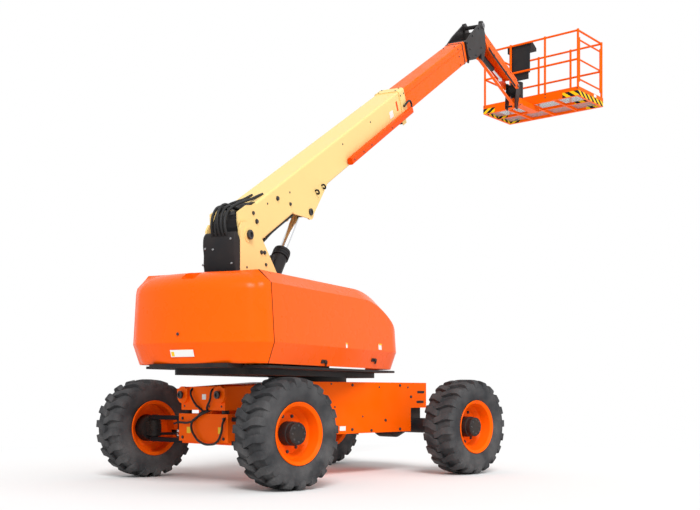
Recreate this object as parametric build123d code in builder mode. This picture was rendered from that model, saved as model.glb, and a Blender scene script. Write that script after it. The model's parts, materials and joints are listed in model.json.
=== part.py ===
from build123d import *
import os
from math import atan2, cos, degrees, hypot, radians, sin, sqrt

# Self-propelled boom lift with a telescopic boom, a jib and a work platform, in millimetres.
# Origin: the slew axis on the ground. +X runs along the chassis to the fixed drive axle, +Z is up.
# The turret, boom, jib and platform are each modelled in their own frame and placed when written.

os.makedirs("parts", exist_ok=True)

# Driving sizes
WHEELBASE = 2490.0
TRACK = 2120.0
TYRE_R = 490.0
TYRE_W = 370.0
RIM_R = 275.0
SLEW_DEG = 18.0
BOOM_DEG = 30.0
JIB_DEG = -8.5
PLATFORM_TURN_DEG = -13.2
GAP = 6.0
PIN_FIT = 0.5
SEAT = 0.3

FRONT_X = -WHEELBASE / 2
REAR_X = WHEELBASE / 2

# Chassis frame
FRAME_HALF_W = 450.0
FRAME_BOTTOM = 430.0
FRAME_TOP = 950.0
FRAME_END_X = REAR_X + 110.0
FRAME_BEND_X = -300.0
AXLE_NOTCH_X = REAR_X - 145.0
AXLE_NOTCH_TOP = 680.0
FRAME_WALL = 25.0
NECK_X = FRONT_X - 95.0
NECK_HALF_W = 330.0
NECK_BOTTOM = 680.0
NECK_TOP = 900.0
EAR_PIN_Y = 280.0
EAR_PIN_Z = 823.0
EAR_R = 80.0
EAR_T = 30.0
LOCK_PIN_R = 26.0

# Steering axle
BEAM_HALF_L = 370.0
BEAM_DEPTH = 190.0
BEAM_BOTTOM = 385.0
BEAM_TOP = 645.0
FORK_T = 40.0
FORK_W = 110.0
KINGPIN_Y = 900.0
KNUCKLE_R = 55.0
KNUCKLE_H = 165.0
KINGPIN_R = 28.0
SPINDLE_R = 70.0
STEER_ARM = 165.0
STEER_X = 165.0
STEER_Z = 420.0
STEER_ARM_T = 25.0
STEER_BARREL_R = 40.0
STEER_ROD_R = 18.0
STEER_EYE_T = 28.0

# Drive axle
DRIVE_TUBE_R = 80.0
DRIVE_CENTRE_R = 138.0

# Wheels
HUB_R = 105.0
HUB_BASE_R = 145.0
HUB_FACE_Y = TYRE_W / 2 - 35.0
DISC_Y = -10.0
HUB_BACK = 90.0
RIM_WALL = 12.0
BEAD_W = 29.6

# Turret
RING_R = 400.0
RING_H = 50.0
DECK_BOTTOM = FRAME_TOP + RING_H
DECK_T = 75.0
DECK_HALF_W = 400.0
DECK_FRONT_X = 840.0
SKIRT_Z = 1088.0
BELT_Z = 1265.0
ROOF_Z = 1875.0
BELT_HALF_W = 722.0
SKIRT_IN = 60.0
ROOF_IN = 40.0
NOSE_X = 950.0
NOSE_R = 420.0
ROOF_BEND_X = -100.0
TAIL_X = -2180.0
TAIL_R = 2600.0
TAIL_CORNER_R = 120.0
SEAM_X = -1890.0
CHANNEL_HALF_W = 235.0
HOOD_WALL = 12.0
SHOULDER = 112.0
HINGE_TUBE_R = 10.0

# Mast and boom pivot
MAST_PLATE = 20.0
MAST_FIT = 15.0
MAST_REAR_X = -1570.0
PIVOT_X = -1435.0
PIVOT_Z = 2252.0
PIVOT_R = 42.0
MAST_HEAD_R = 118.0
MAST_HINGE_X = -900.0

# Boom sections, as half-width, bottom and top about the pivot line
BASE_W = 150.0
MAST_HALF_W = BASE_W + MAST_FIT + MAST_PLATE
BASE_LOW = -155.0
BASE_HIGH = 185.0
BASE_L = 4200.0
BASE_WALL = 10.0
SECTION_GAP = 16.0
COLLAR_T = 12.0
COLLAR_L = 160.0
CARRIER_S = 2300.0
CARRIER_W = 60.0
CARRIER_H = 75.0
MID_L = 6760.0
MID_START = 330.0
FOLD_P = 80.0
FOLD_DEPTH = 3.0
FLY_START = 420.0
FLY_L = 6930.0
SECTION_WALL = 8.0
PAD_FIT = 0.5
PAD_L = 130.0

# Lift cylinder
LUG_S = 1260.0
LUG_P = -265.0
LIFT_BASE_X = -1220.0
LIFT_BASE_Z = 1250.0
LIFT_BORE_R = 75.0
LIFT_ROD_R = 38.0
LIFT_BARREL_L = 1210.0
LIFT_EYE_R = 50.0
ROD_EYE_R = 44.0
LIFT_ROD_L = 1112.0

# Nose and jib
NOSE_S = 7620.0
NOSE_P = 184.0
NOSE_PLATE = 22.0
NOSE_FIT = 28.0
JIB_L = 1800.0
JIB_ROOT = (130.0, -90.0)
LINK_DROP = (-50.0, -340.0)
JIB_CYL_DROP = (36.0, -150.0)
JIB_HALF_W = 100.0
JIB_UP = 85.0
JIB_WALL = 8.0
LINK_Y = -50.0
LINK_R = 22.0
JIB_CYL_Y = 38.0
JIB_CYL_R = 42.0
JIB_ROD_R = 20.0
JIB_EYE_S = 1330.0
JIB_EYE_P = -75.0
JIB_CYL_PIN_R = 18.0
JIB_ROD_L = 700.0

# Platform
PLAT_L = 1830.0
PLAT_D = 910.0
RAIL_H = 1100.0
RAIL_R = 19.0
TOE_H = 150.0
FLOOR_T = 45.0
PLAT_BACK = 420.0
ROTATOR_X = 265.0
FLOOR_DROP = -146.0
TOE_T = 4.0
SUPPORT_T = 90.0
TIE_R = 22.0
TIE_T = 25.0
TIE_Y = 300.0
TIE_X = FRAME_END_X + 45.0
TIE_Z = AXLE_NOTCH_TOP + 110.0

DECK_TOP = DECK_BOTTOM + DECK_T
HOME = Location((0, 0, 0))
turret_place = Location((0, 0, 0), (0, 0, SLEW_DEG))
boom_place = turret_place * Location((PIVOT_X, 0, PIVOT_Z), (0, -BOOM_DEG, 0))


def boom_point(s, p):
    # a point of the boom's plane, as x and z of the turret frame
    a = radians(BOOM_DEG)
    return PIVOT_X + s * cos(a) - p * sin(a), PIVOT_Z + s * sin(a) + p * cos(a)


NOSE_PIN = boom_point(NOSE_S, NOSE_P)
JIB_PIN = (NOSE_PIN[0] + JIB_ROOT[0], NOSE_PIN[1] + JIB_ROOT[1])
JIB_END = (JIB_PIN[0] + JIB_L * cos(radians(JIB_DEG)), JIB_PIN[1] + JIB_L * sin(radians(JIB_DEG)))
LUG_PIN = boom_point(LUG_S, LUG_P)
LIFT_DEG = degrees(atan2(LUG_PIN[1] - LIFT_BASE_Z, LUG_PIN[0] - LIFT_BASE_X))
LIFT_L = hypot(LUG_PIN[1] - LIFT_BASE_Z, LUG_PIN[0] - LIFT_BASE_X)
JIB_CYL_ROOT = (JIB_PIN[0] + JIB_CYL_DROP[0], JIB_PIN[1] + JIB_CYL_DROP[1])
LINK_ROOT = (JIB_PIN[0] + LINK_DROP[0], JIB_PIN[1] + LINK_DROP[1])
jib_eye = (JIB_PIN[0] + JIB_EYE_S * cos(radians(JIB_DEG)) - JIB_EYE_P * sin(radians(JIB_DEG)),
           JIB_PIN[1] + JIB_EYE_S * sin(radians(JIB_DEG)) + JIB_EYE_P * cos(radians(JIB_DEG)))
JIB_CYL_DEG = degrees(atan2(jib_eye[1] - JIB_CYL_ROOT[1], jib_eye[0] - JIB_CYL_ROOT[0]))
JIB_CYL_L = hypot(jib_eye[1] - JIB_CYL_ROOT[1], jib_eye[0] - JIB_CYL_ROOT[0])
PLAT_FLOOR_Z = JIB_END[1] + FLOOR_DROP
ROTATOR_AXIS_X = JIB_END[0] + ROTATOR_X

nose_place = turret_place * Location((NOSE_PIN[0], 0, NOSE_PIN[1]))
jib_place = turret_place * Location((JIB_PIN[0], 0, JIB_PIN[1]), (0, -JIB_DEG, 0))
link_place = turret_place * Location((LINK_ROOT[0], 0, LINK_ROOT[1]), (0, -JIB_DEG, 0))
jib_cyl_place = turret_place * Location((JIB_CYL_ROOT[0], 0, JIB_CYL_ROOT[1]), (0, -JIB_CYL_DEG, 0))
jib_end_place = turret_place * Location((JIB_END[0], 0, JIB_END[1]))
lift_place = turret_place * Location((LIFT_BASE_X, 0, LIFT_BASE_Z), (0, -LIFT_DEG, 0))
platform_place = turret_place * Location((ROTATOR_AXIS_X, 0, PLAT_FLOOR_Z), (0, 0, PLATFORM_TURN_DEG))


def write(piece, node, place=HOME):
    placed = piece.moved(place)
    placed.label = node
    export_step(placed, f"parts/{node}.step")


# Wheels, modelled with the axle along Y and the outer side at +Y
with BuildPart() as tyre:
    with BuildSketch(Plane.YZ):
        with BuildLine():
            w = TYRE_W / 2
            Polyline((-w * 0.80, RIM_R - 22), (-w * 0.80 - BEAD_W, RIM_R + 30), (-w, RIM_R + 95), (-w * 0.97, TYRE_R - 45),
                     (-w * 0.86, TYRE_R - 8), (-w * 0.5, TYRE_R), (w * 0.5, TYRE_R), (w * 0.86, TYRE_R - 8),
                     (w * 0.97, TYRE_R - 45), (w, RIM_R + 95), (w * 0.80 + BEAD_W, RIM_R + 30), (w * 0.80, RIM_R - 22),
                     close=True)
        make_face()
    revolve(axis=Axis.Y)

with BuildPart() as rim:
    with BuildSketch(Plane.YZ):
        with BuildLine():
            r = RIM_R - 22 - 0.3
            w = TYRE_W / 2
            Polyline((-w * 0.80, r), (w * 0.80, r), (w * 0.80 + 14, RIM_R), (w * 0.80 + 22, RIM_R - 6),
                     (w * 0.80, r - RIM_WALL), (DISC_Y + 60, r - RIM_WALL - 20), (DISC_Y + 14, r - RIM_WALL - 60),
                     (DISC_Y + 14, HUB_R + 1), (DISC_Y, HUB_R + 1), (DISC_Y, r - RIM_WALL - 60),
                     (DISC_Y - 20, r - RIM_WALL), (-w * 0.80, r - RIM_WALL), (-w * 0.80 - 22, RIM_R - 6),
                     (-w * 0.80 - 14, RIM_R), close=True)
        make_face()
    revolve(axis=Axis.Y)

with BuildPart() as hub:
    with BuildSketch(Plane.YZ):
        with BuildLine():
            Polyline((DISC_Y - HUB_BACK, 0), (DISC_Y - HUB_BACK, HUB_BASE_R - 25), (DISC_Y - 20, HUB_BASE_R - 10),
                     (DISC_Y - 0.5, HUB_BASE_R - 10), (DISC_Y - 0.5, HUB_R), (HUB_FACE_Y - 60, HUB_R),
                     (HUB_FACE_Y - 55, HUB_R - 8), (HUB_FACE_Y - 8, HUB_R - 8), (HUB_FACE_Y, HUB_R - 18),
                     (HUB_FACE_Y, 0), close=True)
        make_face()
    revolve(axis=Axis.Y)

# One row for each wheel: name, x, side
wheel_rows = [("front_right", FRONT_X, -1), ("front_left", FRONT_X, 1), ("rear_right", REAR_X, -1),
              ("rear_left", REAR_X, 1)]
for corner, x, side in wheel_rows:
    place = Location((x, side * TRACK / 2, TYRE_R), (0, 0, 0 if side > 0 else 180))
    write(tyre.part, f"tyre_{corner}", place)
    write(rim.part, f"rim_{corner}", place)
    write(hub.part, f"hub_{corner}", place)

hub_back_y = TRACK / 2 + DISC_Y - HUB_BACK

# Chassis frame: side plates that bend in to a neck, a deck, a floor and the ears over the axle
with BuildPart() as frame:
    with BuildSketch(Plane.XY.offset(FRAME_BOTTOM)) as plan:
        with BuildLine():
            Polyline((FRAME_END_X, -FRAME_HALF_W), (FRAME_END_X, FRAME_HALF_W), (FRAME_BEND_X, FRAME_HALF_W),
                     (NECK_X, NECK_HALF_W), (NECK_X, -NECK_HALF_W), (FRAME_BEND_X, -FRAME_HALF_W), close=True)
        make_face()
    extrude(amount=FRAME_TOP - FRAME_BOTTOM)
    with BuildSketch(Plane.XY.offset(FRAME_BOTTOM + FRAME_WALL)):
        with BuildLine():
            t = FRAME_WALL
            Polyline((FRAME_END_X - t, -FRAME_HALF_W + t), (FRAME_END_X - t, FRAME_HALF_W - t),
                     (FRAME_BEND_X, FRAME_HALF_W - t), (NECK_X + t, NECK_HALF_W - t),
                     (NECK_X + t, -NECK_HALF_W + t), (FRAME_BEND_X, -FRAME_HALF_W + t), close=True)
        make_face()
    extrude(amount=FRAME_TOP - FRAME_BOTTOM - 2 * FRAME_WALL, mode=Mode.SUBTRACT)
    # the side profile: a notch over the drive axle and a raised neck over the steering axle
    with BuildSketch(Plane.XZ):
        with BuildLine():
            Polyline((AXLE_NOTCH_X, FRAME_BOTTOM - 10), (AXLE_NOTCH_X, AXLE_NOTCH_TOP),
                     (FRAME_END_X + 10, AXLE_NOTCH_TOP), (FRAME_END_X + 10, FRAME_BOTTOM - 10), close=True)
        make_face()
        with BuildLine():
            Polyline((NECK_X - 10, FRAME_BOTTOM - 10), (NECK_X - 10, NECK_BOTTOM), (FRONT_X + 190, NECK_BOTTOM),
                     (FRAME_BEND_X - 200, FRAME_BOTTOM - 10), close=True)
        make_face()
        with BuildLine():
            Polyline((NECK_X - 10, FRAME_TOP + 10), (NECK_X - 10, NECK_TOP), (NECK_X + 120, NECK_TOP),
                     (FRAME_BEND_X - 100, FRAME_TOP), (FRAME_BEND_X - 100, FRAME_TOP + 10), close=True)
        make_face()
    extrude(amount=FRAME_HALF_W + 10, both=True, mode=Mode.SUBTRACT)
    # closing plates under the neck and over the axle notch
    with BuildSketch(Plane.XY.offset(AXLE_NOTCH_TOP)):
        with Locations(((AXLE_NOTCH_X + FRAME_END_X) / 2, 0)):
            Rectangle(FRAME_END_X - AXLE_NOTCH_X, 2 * FRAME_HALF_W)
    extrude(amount=FRAME_WALL)
    with BuildSketch(Plane.XY.offset(NECK_BOTTOM)):
        with Locations(((NECK_X + FRONT_X + 230) / 2, 0)):
            Rectangle(FRONT_X + 230 - NECK_X, 2 * NECK_HALF_W)
    extrude(amount=FRAME_WALL)
    # paired ears for the two lock cylinders
    with BuildSketch(Plane.YZ.offset(NECK_X)) as ears:
        for y in (-EAR_PIN_Y, EAR_PIN_Y):
            with Locations((y, EAR_PIN_Z)):
                Circle(EAR_R)
            with Locations((y, EAR_PIN_Z + 30)):
                Rectangle(2 * EAR_R, 60)
    extrude(amount=-EAR_T)
    with Locations((NECK_X, -EAR_PIN_Y, EAR_PIN_Z), (NECK_X, EAR_PIN_Y, EAR_PIN_Z)):
        Cylinder(LOCK_PIN_R, 2 * EAR_T + 30, rotation=(0, 90, 0))
    # tie-down lugs at the drive end: flat eyes, open above and below
    for y in (-TIE_Y, TIE_Y):
        with BuildSketch(Plane.XY.offset(TIE_Z - TIE_T / 2)):
            with Locations((TIE_X, y)):
                Circle(50)
            with Locations((TIE_X - 25, y)):
                Rectangle(50, 100)
            with Locations((TIE_X, y)):
                Circle(TIE_R, mode=Mode.SUBTRACT)
        extrude(amount=TIE_T)
write(frame.part, "chassis_frame")

# Steering axle: a boxed beam with a fork at each end that holds the kingpin
with BuildPart() as front_axle:
    beam_mid = (BEAM_BOTTOM + BEAM_TOP) / 2
    with Locations((FRONT_X, 0, beam_mid)):
        Box(BEAM_DEPTH, 2 * BEAM_HALF_L, BEAM_TOP - BEAM_BOTTOM)
    # the pivot block that the frame rests on
    with Locations((FRONT_X, 0, (BEAM_TOP + NECK_BOTTOM - SEAT) / 2)):
        Box(BEAM_DEPTH - 60, 200, NECK_BOTTOM - BEAM_TOP - SEAT)
    with BuildSketch(Plane.XY.offset(TYRE_R - KNUCKLE_H / 2 - GAP - FORK_T)) as fork:
        with Locations((FRONT_X, 0)):
            Rectangle(FORK_W, 2 * KINGPIN_Y)
        with Locations((FRONT_X, KINGPIN_Y), (FRONT_X, -KINGPIN_Y)):
            Circle(FORK_W / 2)
    extrude(amount=FORK_T)
    extrude(fork.sketch.moved(Location((0, 0, KNUCKLE_H + 2 * GAP + FORK_T))), amount=FORK_T)
    with Locations((FRONT_X, KINGPIN_Y, TYRE_R), (FRONT_X, -KINGPIN_Y, TYRE_R)):
        Cylinder(KINGPIN_R, KNUCKLE_H + 2 * GAP + 2 * FORK_T + 10)
write(front_axle.part, "front_axle")

# Knuckles, each about its kingpin: a housing, a spindle to the hub and a steering arm
with BuildPart() as knuckle:
    Cylinder(KNUCKLE_R, KNUCKLE_H)
    spindle_end = hub_back_y - SEAT - KINGPIN_Y
    with Locations((0, (spindle_end + 10) / 2, 0)):
        Box(2 * SPINDLE_R, spindle_end - 10, 2 * SPINDLE_R)
    with BuildSketch(Plane.XY.offset(STEER_Z - TYRE_R)):
        with BuildLine():
            Polyline((-30, 0), (30, 0), (STEER_ARM + 22, -60), (STEER_ARM + 22, -100), (STEER_ARM - 22, -100),
                     (0, -50), close=True)
        make_face()
    extrude(amount=STEER_ARM_T)
    Cylinder(KINGPIN_R + PIN_FIT, 2 * KNUCKLE_H, mode=Mode.SUBTRACT)
for side, name in ((-1, "right"), (1, "left")):
    body = knuckle.part if side > 0 else knuckle.part.mirror(Plane.XZ)
    write(body, f"knuckle_{name}", Location((FRONT_X, side * KINGPIN_Y, TYRE_R)))

steer_eye_y = KINGPIN_Y - 80
with BuildPart() as steer_barrel:
    with Locations((FRONT_X + STEER_X, 0, STEER_Z + 12)):
        Cylinder(STEER_BARREL_R, 560, rotation=(90, 0, 0))
        Cylinder(STEER_ROD_R + 0.8, 562, rotation=(90, 0, 0), mode=Mode.SUBTRACT)
    with Locations((FRONT_X + STEER_X - 45, -180, STEER_Z + 12), (FRONT_X + STEER_X - 45, 180, STEER_Z + 12)):
        Box(50, 60, 60)
    with Locations((FRONT_X + STEER_X, 0, STEER_Z + 12)):
        Cylinder(STEER_ROD_R + 0.8, 562, rotation=(90, 0, 0), mode=Mode.SUBTRACT)
write(steer_barrel.part, "steer_cylinder")

with BuildPart() as steer_rod:
    with Locations((FRONT_X + STEER_X, 0, STEER_Z + 12)):
        Cylinder(STEER_ROD_R, 2 * (steer_eye_y - 60), rotation=(90, 0, 0))
    # the eyes lie on the steering arms, joined to the rod by an upright
    eye_z = STEER_Z + STEER_ARM_T + SEAT + STEER_EYE_T / 2
    with Locations((FRONT_X + STEER_X, steer_eye_y - 40, eye_z), (FRONT_X + STEER_X, 40 - steer_eye_y, eye_z)):
        Box(40, 90, STEER_EYE_T)
    with Locations((FRONT_X + STEER_X, steer_eye_y - 78, STEER_Z + 22),
                   (FRONT_X + STEER_X, 78 - steer_eye_y, STEER_Z + 22)):
        Box(40, 25, 62)
write(steer_rod.part, "steer_rods")

# Lock cylinders: hang from the ears and press on the beam
with BuildPart() as locks:
    for y in (-EAR_PIN_Y, EAR_PIN_Y):
        with Locations((NECK_X + 45, y, (NECK_BOTTOM + BEAM_TOP) / 2)):
            Cylinder(34, NECK_BOTTOM - BEAM_TOP - 2 * SEAT)
write(locks.part, "axle_lock_cylinders")

# Drive axle: a centre housing with a tube to each hub
with BuildPart() as drive_axle:
    with BuildSketch(Plane.YZ.offset(REAR_X)):
        with BuildLine():
            Polyline((0, 0), (0, DRIVE_CENTRE_R), (110, DRIVE_CENTRE_R), (230, DRIVE_TUBE_R), (760, DRIVE_TUBE_R),
                     (760, 120), (hub_back_y - SEAT, 120), (hub_back_y - SEAT, 0), close=True)
        make_face()
    revolve(axis=Axis((REAR_X, 0, 0), (0, 1, 0)))
    mirror(about=Plane.XZ)
drive = drive_axle.part.moved(Location((0, 0, TYRE_R)))
with BuildPart() as drive_pads:
    for y in (-330, 330):
        with Locations((REAR_X, y, (TYRE_R + AXLE_NOTCH_TOP) / 2 + 20)):
            Box(170, 110, AXLE_NOTCH_TOP - TYRE_R - 40 - 2 * SEAT)
write(drive.fuse(drive_pads.part), "drive_axle")

# Slew ring between the frame and the turret's deck
with BuildPart() as slew_ring:
    with BuildSketch(Plane.XY.offset(FRAME_TOP)):
        Circle(RING_R)
        Circle(RING_R - 80, mode=Mode.SUBTRACT)
    extrude(amount=RING_H - SEAT)
write(slew_ring.part, "slew_ring")


def turret_outline(inset, seam_side):
    # plan outline of the covers at one level: seam_side is "tail" or "hood"
    half = BELT_HALF_W - inset
    if seam_side == "tail":
        tail_x = TAIL_X + inset
        corner = TAIL_CORNER_R - 0.3 * inset
        corner_x = tail_x + TAIL_R - sqrt(TAIL_R ** 2 - (half - corner) ** 2)
        with BuildLine() as line:
            Line((SEAM_X - 4, half), (corner_x + corner, half))
            Line((SEAM_X - 4, -half), (corner_x + corner, -half))
            ThreePointArc((corner_x, -half + corner), (tail_x, 0), (corner_x, half - corner))
            TangentArc((corner_x + corner, half), (corner_x, half - corner), tangent=(-1, 0))
            TangentArc((corner_x + corner, -half), (corner_x, -half + corner), tangent=(-1, 0))
            Line((SEAM_X - 4, half), (SEAM_X - 4, -half))
    else:
        nose_x = NOSE_X - inset
        radius = NOSE_R - inset
        with BuildLine() as line:
            Line((SEAM_X + 4, -half), (nose_x - radius, -half))
            TangentArc((nose_x - radius, -half), (nose_x, -half + radius), tangent=(1, 0))
            Line((nose_x, -half + radius), (nose_x, -CHANNEL_HALF_W))
            Line((nose_x, -CHANNEL_HALF_W), (SEAM_X + 4, -CHANNEL_HALF_W))
            Line((SEAM_X + 4, -CHANNEL_HALF_W), (SEAM_X + 4, -half))
    return line.line


# Counterweight: a casting that closes the tail, level by level from skirt to roof
# level, inset of the outline
tail_levels = [(SKIRT_Z, SKIRT_IN), (BELT_Z, 0), (ROOF_Z - SHOULDER, 31), (ROOF_Z, 160)]
with BuildPart() as counterweight:
    for (z0, in0), (z1, in1) in zip(tail_levels, tail_levels[1:]):
        with BuildSketch(Plane.XY.offset(z0)) as low:
            add(turret_outline(in0, "tail"))
            make_face()
        with BuildSketch(Plane.XY.offset(z1)) as high:
            add(turret_outline(in1, "tail"))
            make_face()
        loft([low.sketch, high.sketch], ruled=True)
    # lifting pocket in the top edge
    with Locations((TAIL_X + 130, 0, ROOF_Z)):
        Box(180, 150, 160, mode=Mode.SUBTRACT)
write(counterweight.part, "counterweight", turret_place)

# Hoods: shells split from the tail at the seam, open inwards and below
hood_levels = [(SKIRT_Z, SKIRT_IN), (BELT_Z, 0), (ROOF_Z + 30, ROOF_IN)]


def hood_body(wall):
    # the covers' side as a solid, drawn in by the wall thickness
    with BuildPart() as side:
        for (z0, in0), (z1, in1) in zip(hood_levels, hood_levels[1:]):
            with BuildSketch(Plane.XY.offset(z0)) as low:
                add(turret_outline(in0 + wall, "hood"))
                make_face()
            with BuildSketch(Plane.XY.offset(z1)) as high:
                add(turret_outline(in1 + wall, "hood"))
                make_face()
            loft([low.sketch, high.sketch], ruled=True)
    # the roof falls away in one long curve to the nose
    with BuildPart() as under_roof:
        with BuildSketch(Plane.XZ.offset(-10)):
            roof = ROOF_Z - wall
            front = NOSE_X + 40 - wall
            with BuildLine():
                Line((SEAM_X - 50, roof), (ROOF_BEND_X, roof))
                TangentArc((ROOF_BEND_X, roof), (front, BELT_Z + 60), tangent=(1, 0))
                Line((front, BELT_Z + 60), (front, SKIRT_Z - 10))
                Line((front, SKIRT_Z - 10), (SEAM_X - 50, SKIRT_Z - 10))
                Line((SEAM_X - 50, SKIRT_Z - 10), (SEAM_X - 50, roof))
            make_face()
        extrude(amount=BELT_HALF_W + 50)
    body = side.part & under_roof.part
    shoulder = [e for e in body.edges() if e.center().Y < -590 and e.center().Z > 1500
                and e.geom_type != GeomType.BEZIER]
    return body.chamfer(SHOULDER, None, shoulder)


hood = hood_body(0) - hood_body(HOOD_WALL)
write(hood, "hood_right", turret_place)
write(hood.mirror(Plane.XZ), "hood_left", turret_place)

# Deck of the turret, with wings under the hoods and a foot for the counterweight
with BuildPart() as deck:
    with BuildSketch(Plane.XY.offset(DECK_BOTTOM)):
        with Locations(((DECK_FRONT_X + SEAM_X + 100) / 2, 0)):
            RectangleRounded(DECK_FRONT_X - SEAM_X - 100, 2 * DECK_HALF_W, 90)
    extrude(amount=DECK_T)
    with BuildSketch(Plane.XY.offset(DECK_BOTTOM + DECK_T - 22)):
        with Locations(((DECK_FRONT_X + SEAM_X) / 2, 0)):
            RectangleRounded(DECK_FRONT_X - SEAM_X - 12, 2 * (BELT_HALF_W - SKIRT_IN - HOOD_WALL - 20), 60)
    extrude(amount=22)
    with BuildSketch(Plane.XY.offset(DECK_BOTTOM + DECK_T - 22)):
        with Locations((SEAM_X - 80, 0)):
            Rectangle(260, 2 * DECK_HALF_W)
    extrude(amount=22 + SKIRT_Z - DECK_TOP - SEAT)
write(deck.part, "turret_deck", turret_place)

# Mast: two upright plates joined low down, with a boss round the boom pin
with BuildPart() as mast:
    for y in (-MAST_HALF_W, MAST_HALF_W - MAST_PLATE):
        with BuildSketch(Plane.XZ.offset(-y - MAST_PLATE)) as upright:
            with BuildLine():
                Polyline((MAST_REAR_X, DECK_TOP), (MAST_REAR_X, PIVOT_Z + 40), (MAST_REAR_X + 40, PIVOT_Z + 100),
                         (PIVOT_X, PIVOT_Z + MAST_HEAD_R), (PIVOT_X + 150, PIVOT_Z + 80), (PIVOT_X + 215, PIVOT_Z + 20),
                         (PIVOT_X + 520, ROOF_Z + 70), (PIVOT_X + 900, 1500), (PIVOT_X + 980, DECK_TOP), close=True)
            make_face()
        extrude(amount=MAST_PLATE)
    with Locations((MAST_REAR_X + 60, 0, 1500)):
        Box(16, 2 * MAST_HALF_W - 2 * MAST_PLATE, 800)
    with Locations((PIVOT_X + 700, 0, DECK_TOP + 60)):
        Box(300, 2 * MAST_HALF_W - 2 * MAST_PLATE, 20)
    with Locations((LIFT_BASE_X, 0, LIFT_BASE_Z)):
        Cylinder(LIFT_EYE_R - 12, 2 * MAST_HALF_W, rotation=(90, 0, 0))
        for y in (-MAST_HALF_W + MAST_PLATE / 2, MAST_HALF_W - MAST_PLATE / 2):
            with Locations((0, y, 0)):
                Cylinder(LIFT_EYE_R, MAST_PLATE + 16, rotation=(90, 0, 0))
    with Locations((PIVOT_X, 0, PIVOT_Z)):
        Cylinder(PIVOT_R, 2 * MAST_HALF_W + 20, rotation=(90, 0, 0))
        for y in (-MAST_HALF_W, MAST_HALF_W):
            with Locations((0, y, 0)):
                Cylinder(PIVOT_R + 26, 12, rotation=(90, 0, 0))
    # hinge tubes of the hoods, on brackets from the uprights
    hinge_y = CHANNEL_HALF_W - HINGE_TUBE_R
    for side in (-1, 1):
        with Locations(((MAST_REAR_X + MAST_HINGE_X) / 2, side * hinge_y, ROOF_Z - HOOD_WALL / 2)):
            Cylinder(HINGE_TUBE_R - SEAT, MAST_HINGE_X - MAST_REAR_X - 20, rotation=(0, 90, 0))
        for x in (MAST_REAR_X + 90, MAST_HINGE_X - 90):
            with Locations((x, side * (hinge_y + MAST_HALF_W) / 2, ROOF_Z - HOOD_WALL / 2)):
                Box(60, hinge_y - MAST_HALF_W + 8, 10)
write(mast.part, "mast", turret_place)

# Rear cover behind the uprights, closed over the hose loops, and the plate over the channel behind it
with BuildPart() as mast_cover:
    cover_x = MAST_REAR_X - SEAT
    with BuildSketch(Plane.XZ.offset(-MAST_HALF_W)):
        with BuildLine():
            Polyline((cover_x, ROOF_Z - 35), (cover_x - 40, ROOF_Z - 35), (cover_x - 85, ROOF_Z + 75),
                     (cover_x - 95, PIVOT_Z - 100), (cover_x - 80, PIVOT_Z + 10), (cover_x - 60, PIVOT_Z + 18),
                     (cover_x - 35, PIVOT_Z + 8), (cover_x, PIVOT_Z - 60), close=True)
        make_face()
    extrude(amount=2 * MAST_HALF_W)
    with Locations(((cover_x + SEAM_X + 4) / 2, 0, ROOF_Z - HOOD_WALL / 2)):
        Box(cover_x - SEAM_X - 4, 2 * (CHANNEL_HALF_W - GAP), HOOD_WALL)
write(mast_cover.part, "mast_cover", turret_place)

# Engine and tanks as plain blocks on the deck under the hoods
with BuildPart() as engine:
    with Locations((-800, -430, DECK_TOP + 300)):
        Box(800, 320, 600 - 2 * SEAT)
write(engine.part, "engine_block", turret_place)
with BuildPart() as tanks:
    for x, length, height in ((-1250, 800, 560), (-250, 900, 480)):
        with Locations((x, 430, DECK_TOP + SEAT + height / 2)):
            Box(length, 330, height)
write(tanks.part, "tanks", turret_place)


def box_section(half_w, low, high, wall, start, end):
    # a boom section along X: a folded tube with cropped corners
    with BuildPart() as tube:
        with BuildSketch(Plane.YZ.offset(start)):
            with Locations((0, (low + high) / 2)):
                RectangleRounded(2 * half_w, high - low, 22)
                RectangleRounded(2 * (half_w - wall), high - low - 2 * wall, 22 - wall, mode=Mode.SUBTRACT)
        extrude(amount=end - start)
    return tube.part


def wear_pads(half_w, low, high, start, inward):
    # four pads on the faces of a tube: from its inner faces inward, or from its outer faces outward
    t = SECTION_GAP - PAD_FIT
    shift = -t / 2 if inward else t / 2
    with BuildPart() as pads:
        with BuildSketch(Plane.YZ.offset(start)):
            for y in (-half_w - shift, half_w + shift):
                with Locations((y, (low + high) / 2)):
                    Rectangle(t, (high - low) / 2)
            for z in (low - shift, high + shift):
                with Locations((0, z)):
                    Rectangle(t + half_w, t)
        extrude(amount=PAD_L)
    return pads.part


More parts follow.
